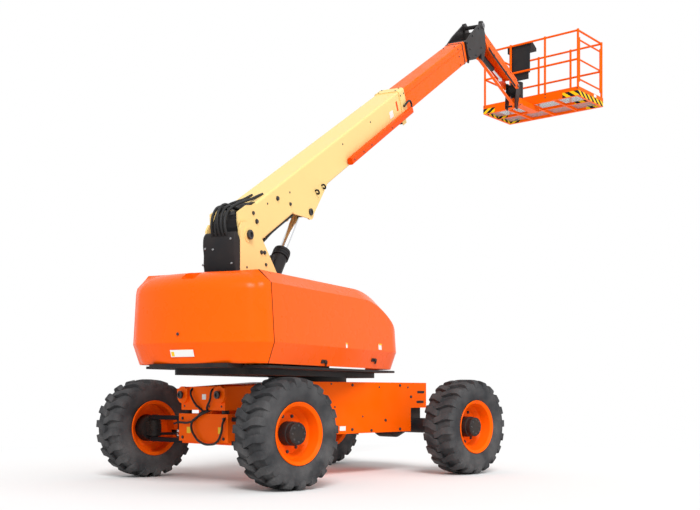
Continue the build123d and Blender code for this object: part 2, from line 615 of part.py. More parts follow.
# Base boom: the tube, side plates at the pivot and lugs for the lift cylinder
base_tube = box_section(BASE_W, BASE_LOW, BASE_HIGH, BASE_WALL, 150, BASE_L)
with BuildPart() as base_boom:
    add(base_tube)
    add(wear_pads(BASE_W - BASE_WALL, BASE_LOW + BASE_WALL, BASE_HIGH - BASE_WALL, BASE_L - PAD_L - 20, True))
    with BuildSketch(Plane.XZ.offset(BASE_W)) as cheek:
        with BuildLine():
            Polyline((-70, 60), (-45, 150), (-8, 222), (160, 222), (260, BASE_HIGH), (MID_START - 15, BASE_HIGH),
                     (MID_START - 15, BASE_LOW),
                     (230, -90), (100, -90), (40, -75), close=True)
        make_face()
        with Locations((0, 0)):
            Circle(95)
            Circle(PIVOT_R + PIN_FIT, mode=Mode.SUBTRACT)
    extrude(amount=-BASE_WALL - 6)
    mirror(about=Plane.XZ)
    with BuildSketch(Plane.XZ.offset(BASE_W)) as lug:
        with BuildLine():
            Polyline((LUG_S - 330, BASE_LOW + 40), (LUG_S - 330, BASE_LOW), (LUG_S - 75, LUG_P - 35),
                     (LUG_S + 60, LUG_P - 45), (LUG_S + 480, BASE_LOW), (LUG_S + 480, BASE_LOW + 40), close=True)
        make_face()
        with Locations((LUG_S, LUG_P)):
            Circle(75)
    extrude(amount=-18)
    mirror(about=Plane.XZ)
    # collar round the mouth
    with BuildSketch(Plane.YZ.offset(BASE_L - COLLAR_L)):
        with Locations((0, (BASE_LOW + BASE_HIGH) / 2)):
            RectangleRounded(2 * (BASE_W + COLLAR_T), BASE_HIGH - BASE_LOW + 2 * COLLAR_T, 30)
            RectangleRounded(2 * BASE_W, BASE_HIGH - BASE_LOW, 22, mode=Mode.SUBTRACT)
    extrude(amount=COLLAR_L)
write(base_boom.part, "base_boom", boom_place)

MID_W = BASE_W - BASE_WALL - SECTION_GAP
MID_LOW = BASE_LOW + BASE_WALL + SECTION_GAP
MID_HIGH = BASE_HIGH - BASE_WALL - SECTION_GAP
with BuildPart() as mid_boom:
    add(box_section(MID_W, MID_LOW, MID_HIGH, SECTION_WALL, MID_START, MID_L))
    # the fold line where the upper and the lower channel meet
    for y in (-MID_W, MID_W):
        with Locations(((MID_START + MID_L) / 2, y, FOLD_P)):
            Box(MID_L - MID_START, 2 * FOLD_DEPTH, 6, mode=Mode.SUBTRACT)
    add(wear_pads(MID_W, MID_LOW, MID_HIGH, MID_START + 20, False))
    add(wear_pads(MID_W - SECTION_WALL, MID_LOW + SECTION_WALL, MID_HIGH - SECTION_WALL, MID_L - PAD_L - 20, True))
write(mid_boom.part, "mid_boom", boom_place)

FLY_W = MID_W - SECTION_WALL - SECTION_GAP
NOSE_HALF_W = FLY_W + NOSE_FIT + NOSE_PLATE
FLY_LOW = MID_LOW + SECTION_WALL + SECTION_GAP
FLY_HIGH = MID_HIGH - SECTION_WALL - SECTION_GAP
with BuildPart() as fly_boom:
    add(box_section(FLY_W, FLY_LOW, FLY_HIGH, SECTION_WALL, FLY_START, FLY_L))
    add(wear_pads(FLY_W, FLY_LOW, FLY_HIGH, FLY_START + 20, False))
write(fly_boom.part, "fly_boom", boom_place)

# Nose: two cheek plates on the fly's end with the pin that carries the jib bracket
with BuildPart() as nose:
    for y in (NOSE_HALF_W, NOSE_PLATE - NOSE_HALF_W):
        with BuildSketch(Plane.XZ.offset(y)):
            with BuildLine():
                Polyline((MID_L + 25, FLY_LOW - 10), (MID_L + 25, FLY_HIGH + 10), (MID_L + 300, FLY_HIGH + 60),
                         (NOSE_S - 60, NOSE_P + 55), (NOSE_S + 60, NOSE_P + 30), (NOSE_S + 60, NOSE_P - 60),
                         (NOSE_S - 80, FLY_LOW - 40), (MID_L + 300, FLY_LOW - 60), close=True)
            make_face()
            with Locations((NOSE_S, NOSE_P)):
                Circle(70)
        extrude(amount=-NOSE_PLATE)
    with BuildSketch(Plane.YZ.offset(MID_L + 25)):
        with Locations((0, (FLY_LOW + FLY_HIGH) / 2)):
            Rectangle(2 * NOSE_HALF_W - 2, FLY_HIGH - FLY_LOW + 20)
            RectangleRounded(2 * (FLY_W + SEAT), FLY_HIGH - FLY_LOW + 2 * SEAT, 22, mode=Mode.SUBTRACT)
    extrude(amount=120)
    with Locations((NOSE_S, 0, NOSE_P)):
        Cylinder(28, 2 * NOSE_HALF_W, rotation=(90, 0, 0))
write(nose.part, "boom_nose", boom_place)

# Hose carrier: a rounded tube under the near side of the base boom, with two straps
carrier_y = -BASE_W - COLLAR_T - SEAT - CARRIER_W / 2
carrier_p = BASE_LOW + 60
with BuildPart() as carrier:
    with BuildSketch(Plane.YZ.offset(CARRIER_S)):
        with Locations((carrier_y, carrier_p)):
            RectangleRounded(CARRIER_W, CARRIER_H, 18)
    extrude(amount=BASE_L + 30 - CARRIER_S)
    for s_at in (CARRIER_S + 120, (CARRIER_S + BASE_L) / 2):
        with Locations((s_at, (carrier_y - BASE_W - SEAT) / 2, carrier_p)):
            Box(40, -BASE_W - SEAT - carrier_y, CARRIER_H - 30)
write(carrier.part, "hose_carrier", boom_place)

# Lift cylinder, along X from its lower eye
with BuildPart() as lift_barrel:
    Cylinder(LIFT_EYE_R + 20, 110, rotation=(90, 0, 0))
    with BuildSketch(Plane.YZ.offset(20)):
        Circle(LIFT_BORE_R)
    extrude(amount=LIFT_BARREL_L - 20)
    with BuildSketch(Plane.YZ.offset(LIFT_BARREL_L - 90)):
        Circle(LIFT_BORE_R + 8)
    extrude(amount=90)
    with BuildSketch(Plane.YZ.offset(140)):
        Circle(LIFT_ROD_R + 0.8)
    extrude(amount=LIFT_BARREL_L, mode=Mode.SUBTRACT)
    Cylinder(LIFT_EYE_R - 12 + PIN_FIT, 2 * LIFT_BORE_R + 20, rotation=(90, 0, 0), mode=Mode.SUBTRACT)
write(lift_barrel.part, "lift_cylinder", lift_place)
with BuildPart() as lift_rod:
    with BuildSketch(Plane.YZ.offset(LIFT_L - LIFT_ROD_L)):
        Circle(LIFT_ROD_R)
    extrude(amount=LIFT_ROD_L - 20)
    with Locations((LIFT_L, 0, 0)):
        Cylinder(ROD_EYE_R, 240, rotation=(90, 0, 0))
write(lift_rod.part, "lift_rod", lift_place)

# Jib bracket, kept level: two cheeks inside the nose with the pins of the jib, its cylinder and its link
BRACKET_Y = NOSE_HALF_W - NOSE_PLATE - 4
BRACKET_PLATE = 18.0
link_x, link_z = JIB_ROOT[0] + LINK_DROP[0], JIB_ROOT[1] + LINK_DROP[1]
cyl_x, cyl_z = JIB_ROOT[0] + JIB_CYL_DROP[0], JIB_ROOT[1] + JIB_CYL_DROP[1]
with BuildPart() as bracket:
    for y in (BRACKET_Y, BRACKET_PLATE - BRACKET_Y):
        with BuildSketch(Plane.XZ.offset(y)):
            with BuildLine():
                Polyline((-60, 40), (0, 70), (60, 55), (JIB_ROOT[0] + 60, JIB_ROOT[1] + 45),
                         (JIB_ROOT[0] + 70, JIB_ROOT[1] - 40), (cyl_x + 55, cyl_z - 20), (link_x + 50, link_z - 45),
                         (link_x - 45, link_z - 45), (link_x - 55, link_z + 30), close=True)
            make_face()
            Circle(72)
            with Locations(JIB_ROOT):
                Circle(66)
            Circle(28 + PIN_FIT, mode=Mode.SUBTRACT)
        extrude(amount=-BRACKET_PLATE)
    inner_w = 2 * (BRACKET_Y - BRACKET_PLATE) + 2
    for x, z, r in ((JIB_ROOT[0], JIB_ROOT[1], 24), (link_x, link_z, 16)):
        with Locations((x, 0, z)):
            Cylinder(r, inner_w, rotation=(90, 0, 0))
    # the cylinder's pin stands on one cheek only, because the link passes beside it
    with Locations((cyl_x, inner_w / 4 - 3, cyl_z)):
        Cylinder(JIB_CYL_PIN_R, inner_w / 2 + 6, rotation=(90, 0, 0))
    with Locations((-10, 0, -150)):
        Box(14, inner_w, 150)
write(bracket.part, "jib_bracket", nose_place)

# Jib arm: a channel open below, with a fork round each pin
with BuildPart() as jib_arm:
    with BuildSketch(Plane.YZ.offset(60)):
        Rectangle(2 * JIB_HALF_W, 2 * JIB_UP)
        with Locations((0, -JIB_WALL)):
            Rectangle(2 * (JIB_HALF_W - JIB_WALL), 2 * JIB_UP, mode=Mode.SUBTRACT)
    extrude(amount=JIB_L - 120)
    # the side walls are cropped near the root, where the cylinder's pin swings past
    with BuildSketch(Plane.XZ):
        with BuildLine():
            Polyline((50, -20), (170, -20), (280, -JIB_UP - 5), (50, -JIB_UP - 5), close=True)
        make_face()
    extrude(amount=JIB_HALF_W + 5, both=True, mode=Mode.SUBTRACT)
    for x in (0, JIB_L):
        for y in (JIB_HALF_W, JIB_WALL - JIB_HALF_W):
            with BuildSketch(Plane.XZ.offset(y)):
                with Locations((x, 0)):
                    Circle(50)
                with Locations((x + (35 if x == 0 else -35), 20)):
                    Rectangle(90, 70)
                with Locations((x, 0)):
                    Circle((24 if x == 0 else 22) + PIN_FIT, mode=Mode.SUBTRACT)
            extrude(amount=-JIB_WALL)
    # boss beside the eye of the cylinder's rod
    with Locations((JIB_EYE_S, JIB_HALF_W - 15, JIB_EYE_P)):
        Cylinder(JIB_CYL_PIN_R, 30, rotation=(90, 0, 0))
write(jib_arm.part, "jib_arm", jib_place)

with BuildPart() as jib_link:
    with Locations((JIB_L / 2, LINK_Y, 0)):
        Cylinder(LINK_R, JIB_L - 60, rotation=(0, 90, 0))
    with Locations((0, LINK_Y, 0), (JIB_L, LINK_Y, 0)):
        Cylinder(32, 34, rotation=(90, 0, 0))
    for x in (0, JIB_L):
        with Locations((x, LINK_Y, 0)):
            Cylinder(16 + PIN_FIT, 60, rotation=(90, 0, 0), mode=Mode.SUBTRACT)
write(jib_link.part, "jib_link", link_place)

with BuildPart() as jib_barrel:
    with Locations((0, JIB_CYL_Y, 0)):
        Cylinder(36, 60, rotation=(90, 0, 0))
    with BuildSketch(Plane.YZ.offset(20)):
        with Locations((JIB_CYL_Y, 0)):
            Circle(JIB_CYL_R)
    extrude(amount=820)
    with BuildSketch(Plane.YZ.offset(60)):
        with Locations((JIB_CYL_Y, 0)):
            Circle(JIB_ROD_R + 0.8)
    extrude(amount=820, mode=Mode.SUBTRACT)
    with Locations((0, JIB_CYL_Y, 0)):
        Cylinder(JIB_CYL_PIN_R + PIN_FIT, 120, rotation=(90, 0, 0), mode=Mode.SUBTRACT)
write(jib_barrel.part, "jib_cylinder", jib_cyl_place)
with BuildPart() as jib_rod:
    with BuildSketch(Plane.YZ.offset(JIB_CYL_L - JIB_ROD_L)):
        with Locations((JIB_CYL_Y, 0)):
            Circle(JIB_ROD_R)
    extrude(amount=JIB_ROD_L - 20)
    with Locations((JIB_CYL_L, JIB_CYL_Y, 0)):
        Cylinder(34, 56, rotation=(90, 0, 0))
write(jib_rod.part, "jib_rod", jib_cyl_place)

# Jib end: cheeks on the arm's pin, a rotary housing and the seat of the platform bracket
ROTATOR_R = 105.0
with BuildPart() as jib_end:
    cheek_y = JIB_HALF_W - JIB_WALL - 3
    for y in (cheek_y, 14 - cheek_y):
        with BuildSketch(Plane.XZ.offset(y)):
            with BuildLine():
                Polyline((-45, -40), (-45, 40), (30, 60), (ROTATOR_X - 60, 60), (ROTATOR_X - 135, FLOOR_DROP + 12),
                         (30, LINK_DROP[1] - 40), (LINK_DROP[0] - 40, LINK_DROP[1] - 40),
                         (LINK_DROP[0] - 40, LINK_DROP[1] + 40), close=True)
            make_face()
        extrude(amount=-14)
    for x, z, r in ((0, 0, 22), (LINK_DROP[0], LINK_DROP[1], 16)):
        with Locations((x, 0, z)):
            Cylinder(r, 2 * (cheek_y - 13), rotation=(90, 0, 0))
    with Locations((0, 0, 0)):
        Cylinder(22, 2 * JIB_HALF_W + 12, rotation=(90, 0, 0))
    with BuildSketch(Plane.XY.offset(FLOOR_DROP)):
        with Locations((ROTATOR_X, 0)):
            Circle(ROTATOR_R)
    extrude(amount=270)
    with Locations((ROTATOR_X - 90, 0, -30)):
        Box(80, 2 * cheek_y, 150)
write(jib_end.part, "jib_end", jib_end_place)

# Platform, with its origin under the rotator's axis at the floor's underside and +X away from the boom
with BuildPart() as platform_floor:
    with BuildSketch(Plane.XY):
        with Locations((PLAT_BACK + PLAT_D / 2, 0)):
            RectangleRounded(PLAT_D, PLAT_L, 6)
    extrude(amount=TOE_H)
    with BuildSketch(Plane.XY.offset(FLOOR_T)):
        with Locations((PLAT_BACK + PLAT_D / 2, 0)):
            RectangleRounded(PLAT_D - 2 * TOE_T, PLAT_L - 2 * TOE_T, 3)
    extrude(amount=TOE_H, mode=Mode.SUBTRACT)
    # the frame below the mesh: open bays between cross bars
    with BuildSketch(Plane.XY):
        with Locations((PLAT_BACK + PLAT_D / 2, 0)):
            with GridLocations((PLAT_D - 60) / 2, (PLAT_L - 60) / 4, 2, 4):
                Rectangle((PLAT_D - 60) / 2 - 30, (PLAT_L - 60) / 4 - 30)
    extrude(amount=FLOOR_T - 4, mode=Mode.SUBTRACT)
write(platform_floor.part, "platform_floor", platform_place)

post_in = TOE_T + RAIL_R + SEAT
near_x, far_x = PLAT_BACK + post_in, PLAT_BACK + PLAT_D - post_in
side_y = PLAT_L / 2 - post_in
BAR_R = RAIL_R - 2
GATE_HINGE_X = far_x - 2 * RAIL_R - 8
GATE_H = RAIL_H * 0.66
GATE_LOW = RAIL_H * 0.22
with BuildPart() as rails:
    post_rows = [(near_x, -side_y), (near_x, -side_y * 0.32), (near_x, side_y * 0.42), (near_x, side_y),
                 (far_x, -side_y), (far_x, -side_y * 0.35), (far_x, side_y * 0.35), (far_x, side_y)]
    for x, y in post_rows:
        with Locations((x, y, (FLOOR_T + RAIL_H) / 2)):
            Cylinder(RAIL_R, RAIL_H - FLOOR_T - 2 * SEAT)
    for z in (RAIL_H - RAIL_R - 5, RAIL_H * 0.55):
        for x in (near_x, far_x):
            with Locations((x, 0, z)):
                Cylinder(BAR_R, 2 * side_y, rotation=(90, 0, 0))
        with Locations(((near_x + far_x) / 2, side_y, z)):
            Cylinder(BAR_R, far_x - near_x, rotation=(0, 90, 0))
    with Locations(((near_x + far_x) / 2, -side_y, RAIL_H - RAIL_R - 5)):
        Cylinder(BAR_R, far_x - near_x, rotation=(0, 90, 0))
    # hinge lugs below and above the gate's post
    for z in (GATE_LOW - SEAT - 4, GATE_LOW + GATE_H + SEAT + 4):
        with Locations(((far_x + GATE_HINGE_X) / 2, -side_y, z)):
            Box(far_x - GATE_HINGE_X + 24, 24, 8)
write(rails.part, "platform_rails", platform_place)

# Gate in the right end, hinged by the far post, opening inwards
with BuildPart() as gate:
    x0, x1 = near_x + 2 * RAIL_R + 8, GATE_HINGE_X
    for x in (x0, x1):
        with Locations((x, -side_y, GATE_LOW + GATE_H / 2)):
            Cylinder(RAIL_R - 3, GATE_H)
    for z in (GATE_LOW + 40, GATE_LOW + GATE_H / 2, GATE_LOW + GATE_H - 40):
        with Locations(((x0 + x1) / 2, -side_y, z)):
            Cylinder(RAIL_R - 5, x1 - x0, rotation=(0, 90, 0))
write(gate.part, "platform_gate", platform_place)

console_x = near_x + RAIL_R + SEAT
CONSOLE_Y = 0.12 * PLAT_L
CONSOLE_W = 460.0
with BuildPart() as console:
    with BuildSketch(Plane.XZ.offset(-CONSOLE_Y - CONSOLE_W / 2)):
        with BuildLine():
            Polyline((console_x, RAIL_H - 135), (console_x, RAIL_H - 8), (console_x + 70, RAIL_H - 8),
                     (console_x + 190, RAIL_H - 80), (console_x + 190, RAIL_H - 135), close=True)
        make_face()
    extrude(amount=CONSOLE_W)
    with Locations((console_x + 15, CONSOLE_Y, RAIL_H - 310)):
        Box(30, CONSOLE_W - 60, 440)
    with Locations((console_x + 60, CONSOLE_Y, RAIL_H - 200)):
        Box(90, CONSOLE_W - 140, 140)
write(console.part, "control_console", platform_place)

with BuildPart() as support:
    with BuildSketch(Plane.XY.offset(-SUPPORT_T)):
        Circle(ROTATOR_R)
        with Locations(((PLAT_BACK + 200) / 2, 0)):
            Rectangle(PLAT_BACK + 200, 150)
    extrude(amount=SUPPORT_T - SEAT)
write(support.part, "platform_support", platform_place)
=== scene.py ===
import json
from math import asin, cos, pi, radians, sin

import bmesh
import bpy
from mathutils import Matrix, Vector


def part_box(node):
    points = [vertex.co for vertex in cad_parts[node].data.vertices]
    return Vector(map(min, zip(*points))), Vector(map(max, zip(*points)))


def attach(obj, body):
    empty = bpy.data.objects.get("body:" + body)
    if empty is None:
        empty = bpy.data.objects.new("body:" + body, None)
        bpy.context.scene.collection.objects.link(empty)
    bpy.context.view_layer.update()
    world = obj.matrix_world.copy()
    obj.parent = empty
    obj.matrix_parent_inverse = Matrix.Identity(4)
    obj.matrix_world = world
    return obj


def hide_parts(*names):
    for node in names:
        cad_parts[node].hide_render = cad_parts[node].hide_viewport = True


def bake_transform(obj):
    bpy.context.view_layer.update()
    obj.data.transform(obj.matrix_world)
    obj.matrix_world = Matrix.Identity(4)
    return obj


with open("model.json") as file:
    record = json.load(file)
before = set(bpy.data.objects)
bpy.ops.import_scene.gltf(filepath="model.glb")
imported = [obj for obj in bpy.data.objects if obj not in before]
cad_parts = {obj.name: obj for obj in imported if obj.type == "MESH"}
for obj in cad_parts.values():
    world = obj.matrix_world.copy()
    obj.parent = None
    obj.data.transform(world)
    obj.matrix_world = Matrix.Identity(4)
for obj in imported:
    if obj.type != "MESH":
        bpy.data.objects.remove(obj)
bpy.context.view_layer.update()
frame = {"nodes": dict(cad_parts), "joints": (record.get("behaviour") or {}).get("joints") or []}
cadNodes = frame["nodes"]
joints = {joint["name"]: joint for joint in frame["joints"]}
print("frame loaded with", len(cadNodes), "CAD nodes")

# Places on the machine. Each group below is written in the frame of the piece that carries it.
machine = {"slewDegrees": 18.0, "platformTurn": -13.2}
turretTurn = Matrix.Rotation(radians(machine["slewDegrees"]), 4, "Z")
platformTurn = Matrix.Rotation(radians(machine["slewDegrees"] + machine["platformTurn"]), 4, "Z")
boomAlong = Vector(joints["telescope"]["axis"])
boomLeft = -Vector(joints["boom_lift"]["axis"])
boomUp = boomAlong.cross(boomLeft)
boomPivot = Vector(joints["boom_lift"]["pos_m"])
jibPivot = Vector(joints["jib_lift"]["pos_m"])
jibTip = Vector(joints["jib_end_level"]["pos_m"])
jibAlong = (jibTip - jibPivot).normalized()
jibUp = jibAlong.cross(boomLeft)
platformAt = Vector(joints["platform_turn"]["pos_m"])
platformAt.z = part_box("platform_floor")[0][2]


def onTurret(x, y, z):
    return turretTurn @ Vector((x, y, z))


def onBoom(s, y, p):
    return boomPivot + boomAlong * s + boomLeft * y + boomUp * p


def onJib(s, y, p):
    return jibPivot + jibAlong * s + boomLeft * y + jibUp * p


def onPlatform(x, y, z):
    return platformAt + platformTurn @ Vector((x, y, z))


def shaderGroup(name, inputs, outputs):
    group = bpy.data.node_groups.new(name, "ShaderNodeTree")
    for label, kind, value in inputs:
        socket = group.interface.new_socket(name=label, in_out="INPUT", socket_type="NodeSocket" + kind)
        if value is not None:
            socket.default_value = value
    for label, kind in outputs:
        group.interface.new_socket(name=label, in_out="OUTPUT", socket_type="NodeSocket" + kind)
    return group, group.nodes.new("NodeGroupInput"), group.nodes.new("NodeGroupOutput")


def join(tree, source, target):
    tree.links.new(source, target)


def mathNode(tree, operation, first, second=None, third=None):
    node = tree.nodes.new("ShaderNodeMath")
    node.operation = operation
    for slot, value in enumerate((first, second, third)):
        if value is None:
            continue
        if isinstance(value, (int, float)):
            node.inputs[slot].default_value = value
        else:
            join(tree, value, node.inputs[slot])
    return node.outputs[0]


def mixColors(tree, factor, first, second):
    node = tree.nodes.new("ShaderNodeMix")
    node.data_type = "RGBA"
    for slot, value in ((0, factor), (6, first), (7, second)):
        if isinstance(value, (int, float)):
            node.inputs[slot].default_value = value
        elif isinstance(value, (tuple, list)):
            node.inputs[slot].default_value = (*value, 1.0)
        else:
            join(tree, value, node.inputs[slot])
    return node.outputs[2]


def mapRange(tree, value, low, high, newLow=0.0, newHigh=1.0):
    node = tree.nodes.new("ShaderNodeMapRange")
    join(tree, value, node.inputs[0])
    for slot, number in zip((1, 2, 3, 4), (low, high, newLow, newHigh)):
        if isinstance(number, (int, float)):
            node.inputs[slot].default_value = number
        else:
            join(tree, number, node.inputs[slot])
    return node.outputs[0]


def buildFinishGroup():
    # cloudy colour, patchy gloss, a light film of dust and a fine bump
    group, entry, leave = shaderGroup(
        "paintFinish",
        [("Vector", "Vector", None), ("Color", "Color", (0.8, 0.8, 0.8, 1.0)),
         ("Dust Color", "Color", (0.5, 0.45, 0.4, 1.0)),
         ("Scale", "Float", 6.0), ("Cloud", "Float", 0.06), ("Dust", "Float", 0.1),
         ("Dust Height", "Float", 0.6),
         ("Roughness", "Float", 0.35), ("Rough Spread", "Float", 0.1), ("Bump", "Float", 0.02),
         ("Grain", "Float", 120.0)],
        [("Color", "Color"), ("Roughness", "Float"), ("Normal", "Vector")])
    cloud = group.nodes.new("ShaderNodeTexNoise")
    cloud.inputs["Detail"].default_value = 4.0
    join(group, entry.outputs["Vector"], cloud.inputs["Vector"])
    join(group, entry.outputs["Scale"], cloud.inputs["Scale"])
    grain = group.nodes.new("ShaderNodeTexNoise")
    grain.inputs["Detail"].default_value = 2.0
    join(group, entry.outputs["Vector"], grain.inputs["Vector"])
    join(group, entry.outputs["Grain"], grain.inputs["Scale"])
    centred = mathNode(group, "SUBTRACT", cloud.outputs[0], 0.5)
    swing = mathNode(group, "MULTIPLY", centred, entry.outputs["Cloud"])
    bright = mathNode(group, "MULTIPLY_ADD", swing, 2.0, 1.0)
    shaded = group.nodes.new("ShaderNodeHueSaturation")
    join(group, entry.outputs["Color"], shaded.inputs["Color"])
    join(group, bright, shaded.inputs["Value"])
    place = group.nodes.new("ShaderNodeSeparateXYZ")
    join(group, entry.outputs["Vector"], place.inputs[0])
    lowDown = mapRange(group, place.outputs["Z"], 0.0, entry.outputs["Dust Height"], 1.0, 0.25)
    patches = mapRange(group, cloud.outputs[0], 0.36, 0.68)
    film = mathNode(group, "MULTIPLY", mathNode(group, "MULTIPLY", patches, lowDown), entry.outputs["Dust"])
    speckle = mathNode(group, "MULTIPLY", film, mapRange(group, grain.outputs[0], 0.3, 0.7, 0.6, 1.3))
    join(group, mixColors(group, speckle, shaded.outputs[0], entry.outputs["Dust Color"]),
         leave.inputs["Color"])
    spread = mathNode(group, "MULTIPLY", centred, entry.outputs["Rough Spread"])
    rough = mathNode(group, "MULTIPLY_ADD", spread, 2.0, entry.outputs["Roughness"])
    join(group, mathNode(group, "ADD", rough, mathNode(group, "MULTIPLY", film, 0.5)),
         leave.inputs["Roughness"])
    bump = group.nodes.new("ShaderNodeBump")
    bump.inputs["Distance"].default_value = 0.002
    join(group, grain.outputs[0], bump.inputs["Height"])
    join(group, entry.outputs["Bump"], bump.inputs["Strength"])
    join(group, bump.outputs[0], leave.inputs["Normal"])
    return group


def buildBandGroup():
    # 1 inside a slab low < value < high with soft edges
    group, entry, leave = shaderGroup(
        "bandMask", [("Value", "Float", 0.0), ("Low", "Float", 0.0), ("High", "Float", 1.0),
                     ("Soft", "Float", 0.002)],
        [("Mask", "Float")])
    halves = []
    for edge, sign in (("Low", 1.0), ("High", -1.0)):
        apart = mathNode(group, "SUBTRACT", entry.outputs["Value"], entry.outputs[edge])
        steep = mathNode(group, "DIVIDE", mathNode(group, "MULTIPLY", apart, sign), entry.outputs["Soft"])
        node = group.nodes.new("ShaderNodeClamp")
        join(group, mathNode(group, "ADD", steep, 0.5), node.inputs[0])
        halves.append(node.outputs[0])
    join(group, mathNode(group, "MULTIPLY", halves[0], halves[1]), leave.inputs["Mask"])
    return group


def buildStripeGroup():
    # diagonal bars across a board: Along runs down its length and Rise up its height
    group, entry, leave = shaderGroup(
        "diagonalBars", [("Along", "Float", 0.0), ("Rise", "Float", 0.0), ("Pitch", "Float", 0.1),
                         ("Slope", "Float", 1.0)],
        [("Mask", "Float")])
    lean = mathNode(group, "MULTIPLY", entry.outputs["Rise"], entry.outputs["Slope"])
    steps = mathNode(group, "DIVIDE", mathNode(group, "ADD", entry.outputs["Along"], lean),
                     entry.outputs["Pitch"])
    turn = mathNode(group, "FRACT", steps)
    join(group, mathNode(group, "GREATER_THAN", turn, 0.5), leave.inputs["Mask"])
    return group


def buildMeshGroup():
    # diamond holes of an expanded metal sheet: 1 on the strands, 0 in the holes
    group, entry, leave = shaderGroup(
        "expandedSheet", [("X", "Float", 0.0), ("Y", "Float", 0.0), ("Long Way", "Float", 0.05),
                          ("Short Way", "Float", 0.025),
                          ("Strand", "Float", 0.24)], [("Mask", "Float")])
    across = mathNode(group, "DIVIDE", entry.outputs["X"], entry.outputs["Short Way"])
    down = mathNode(group, "DIVIDE", entry.outputs["Y"], entry.outputs["Long Way"])
    edges = []
    for operation in ("ADD", "SUBTRACT"):
        lattice = mathNode(group, "FRACT", mathNode(group, operation, across, down))
        fromMiddle = mathNode(group, "ABSOLUTE", mathNode(group, "SUBTRACT", lattice, 0.5))
        edges.append(mathNode(group, "GREATER_THAN", fromMiddle,
                              mathNode(group, "SUBTRACT", 0.5,
                                       mathNode(group, "MULTIPLY", entry.outputs["Strand"], 0.5))))
    join(group, mathNode(group, "MAXIMUM", edges[0], edges[1]), leave.inputs["Mask"])
    return group


finishGroup = buildFinishGroup()
bandGroup = buildBandGroup()
stripeGroup = buildStripeGroup()
meshGroup = buildMeshGroup()
print("shader groups built")

finishes = {
    "orangePaint": {"color": (0.98, 0.118, 0.001), "rough": 0.34, "cloud": 0.05, "dust": 0.05,
                    "bump": 0.02, "metal": 0.0, "coat": 0.0, "gloss": 0.05},
    "orangeGloss": {"color": (0.97, 0.110, 0.001), "rough": 0.28, "cloud": 0.03, "dust": 0.02,
                    "bump": 0.01, "metal": 0.0, "coat": 0.02, "gloss": 0.1},
    "creamPaint": {"color": (0.86, 0.62, 0.25), "rough": 0.38, "cloud": 0.04, "dust": 0.04, "bump": 0.02,
                   "metal": 0.0, "coat": 0.0, "gloss": 0.08},
    "blackPaint": {"color": (0.018, 0.018, 0.02), "rough": 0.42, "cloud": 0.2, "dust": 0.10, "bump": 0.05,
                   "metal": 0.0, "coat": 0.0, "gloss": 0.12},
    "blackPlastic": {"color": (0.02, 0.02, 0.022), "rough": 0.5, "cloud": 0.15, "dust": 0.08,
                     "bump": 0.12, "metal": 0.0, "coat": 0.0, "gloss": 0.1},
    "redPaint": {"color": (0.82, 0.075, 0.002), "rough": 0.36, "cloud": 0.06, "dust": 0.05, "bump": 0.02,
                 "metal": 0.0, "coat": 0.0, "gloss": 0.05},
    "chrome": {"color": (0.72, 0.73, 0.75), "rough": 0.22, "cloud": 0.03, "dust": 0.0, "bump": 0.0,
               "metal": 1.0, "coat": 0.0, "gloss": 0.5},
    "steel": {"color": (0.30, 0.30, 0.31), "rough": 0.4, "cloud": 0.15, "dust": 0.06, "bump": 0.03,
              "metal": 1.0, "coat": 0.0, "gloss": 0.5},
    "darkSteel": {"color": (0.05, 0.05, 0.055), "rough": 0.42, "cloud": 0.15, "dust": 0.10, "bump": 0.03,
                  "metal": 0.6, "coat": 0.0, "gloss": 0.3},
    "rubber": {"color": (0.045, 0.046, 0.049), "rough": 0.78, "cloud": 0.35, "dust": 0.42, "bump": 0.35,
               "metal": 0.0, "coat": 0.0, "gloss": 0.06},
    "hoseRubber": {"color": (0.014, 0.014, 0.015), "rough": 0.5, "cloud": 0.2, "dust": 0.05, "bump": 0.08,
                   "metal": 0.0, "coat": 0.0, "gloss": 0.25},
    "engineGrey": {"color": (0.16, 0.165, 0.17), "rough": 0.5, "cloud": 0.2, "dust": 0.12, "bump": 0.06,
                   "metal": 0.2, "coat": 0.0, "gloss": 0.3},
    "tankPlastic": {"color": (0.10, 0.10, 0.11), "rough": 0.55, "cloud": 0.12, "dust": 0.12, "bump": 0.08,
                    "metal": 0.0, "coat": 0.0, "gloss": 0.2},
    "plateWhite": {"color": (0.80, 0.80, 0.78), "rough": 0.4, "cloud": 0.05, "dust": 0.10, "bump": 0.0,
                   "metal": 0.0, "coat": 0.0, "gloss": 0.2},
    "plateYellow": {"color": (0.85, 0.52, 0.02), "rough": 0.4, "cloud": 0.05, "dust": 0.08, "bump": 0.0,
                    "metal": 0.0, "coat": 0.0, "gloss": 0.2},
    "sheetGrey": {"color": (0.36, 0.37, 0.38), "rough": 0.45, "cloud": 0.12, "dust": 0.10, "bump": 0.04,
                  "metal": 0.5, "coat": 0.0, "gloss": 0.3},
}
dustColor = (0.42, 0.22, 0.09, 1.0)
rubberDust = (0.20, 0.19, 0.185, 1.0)


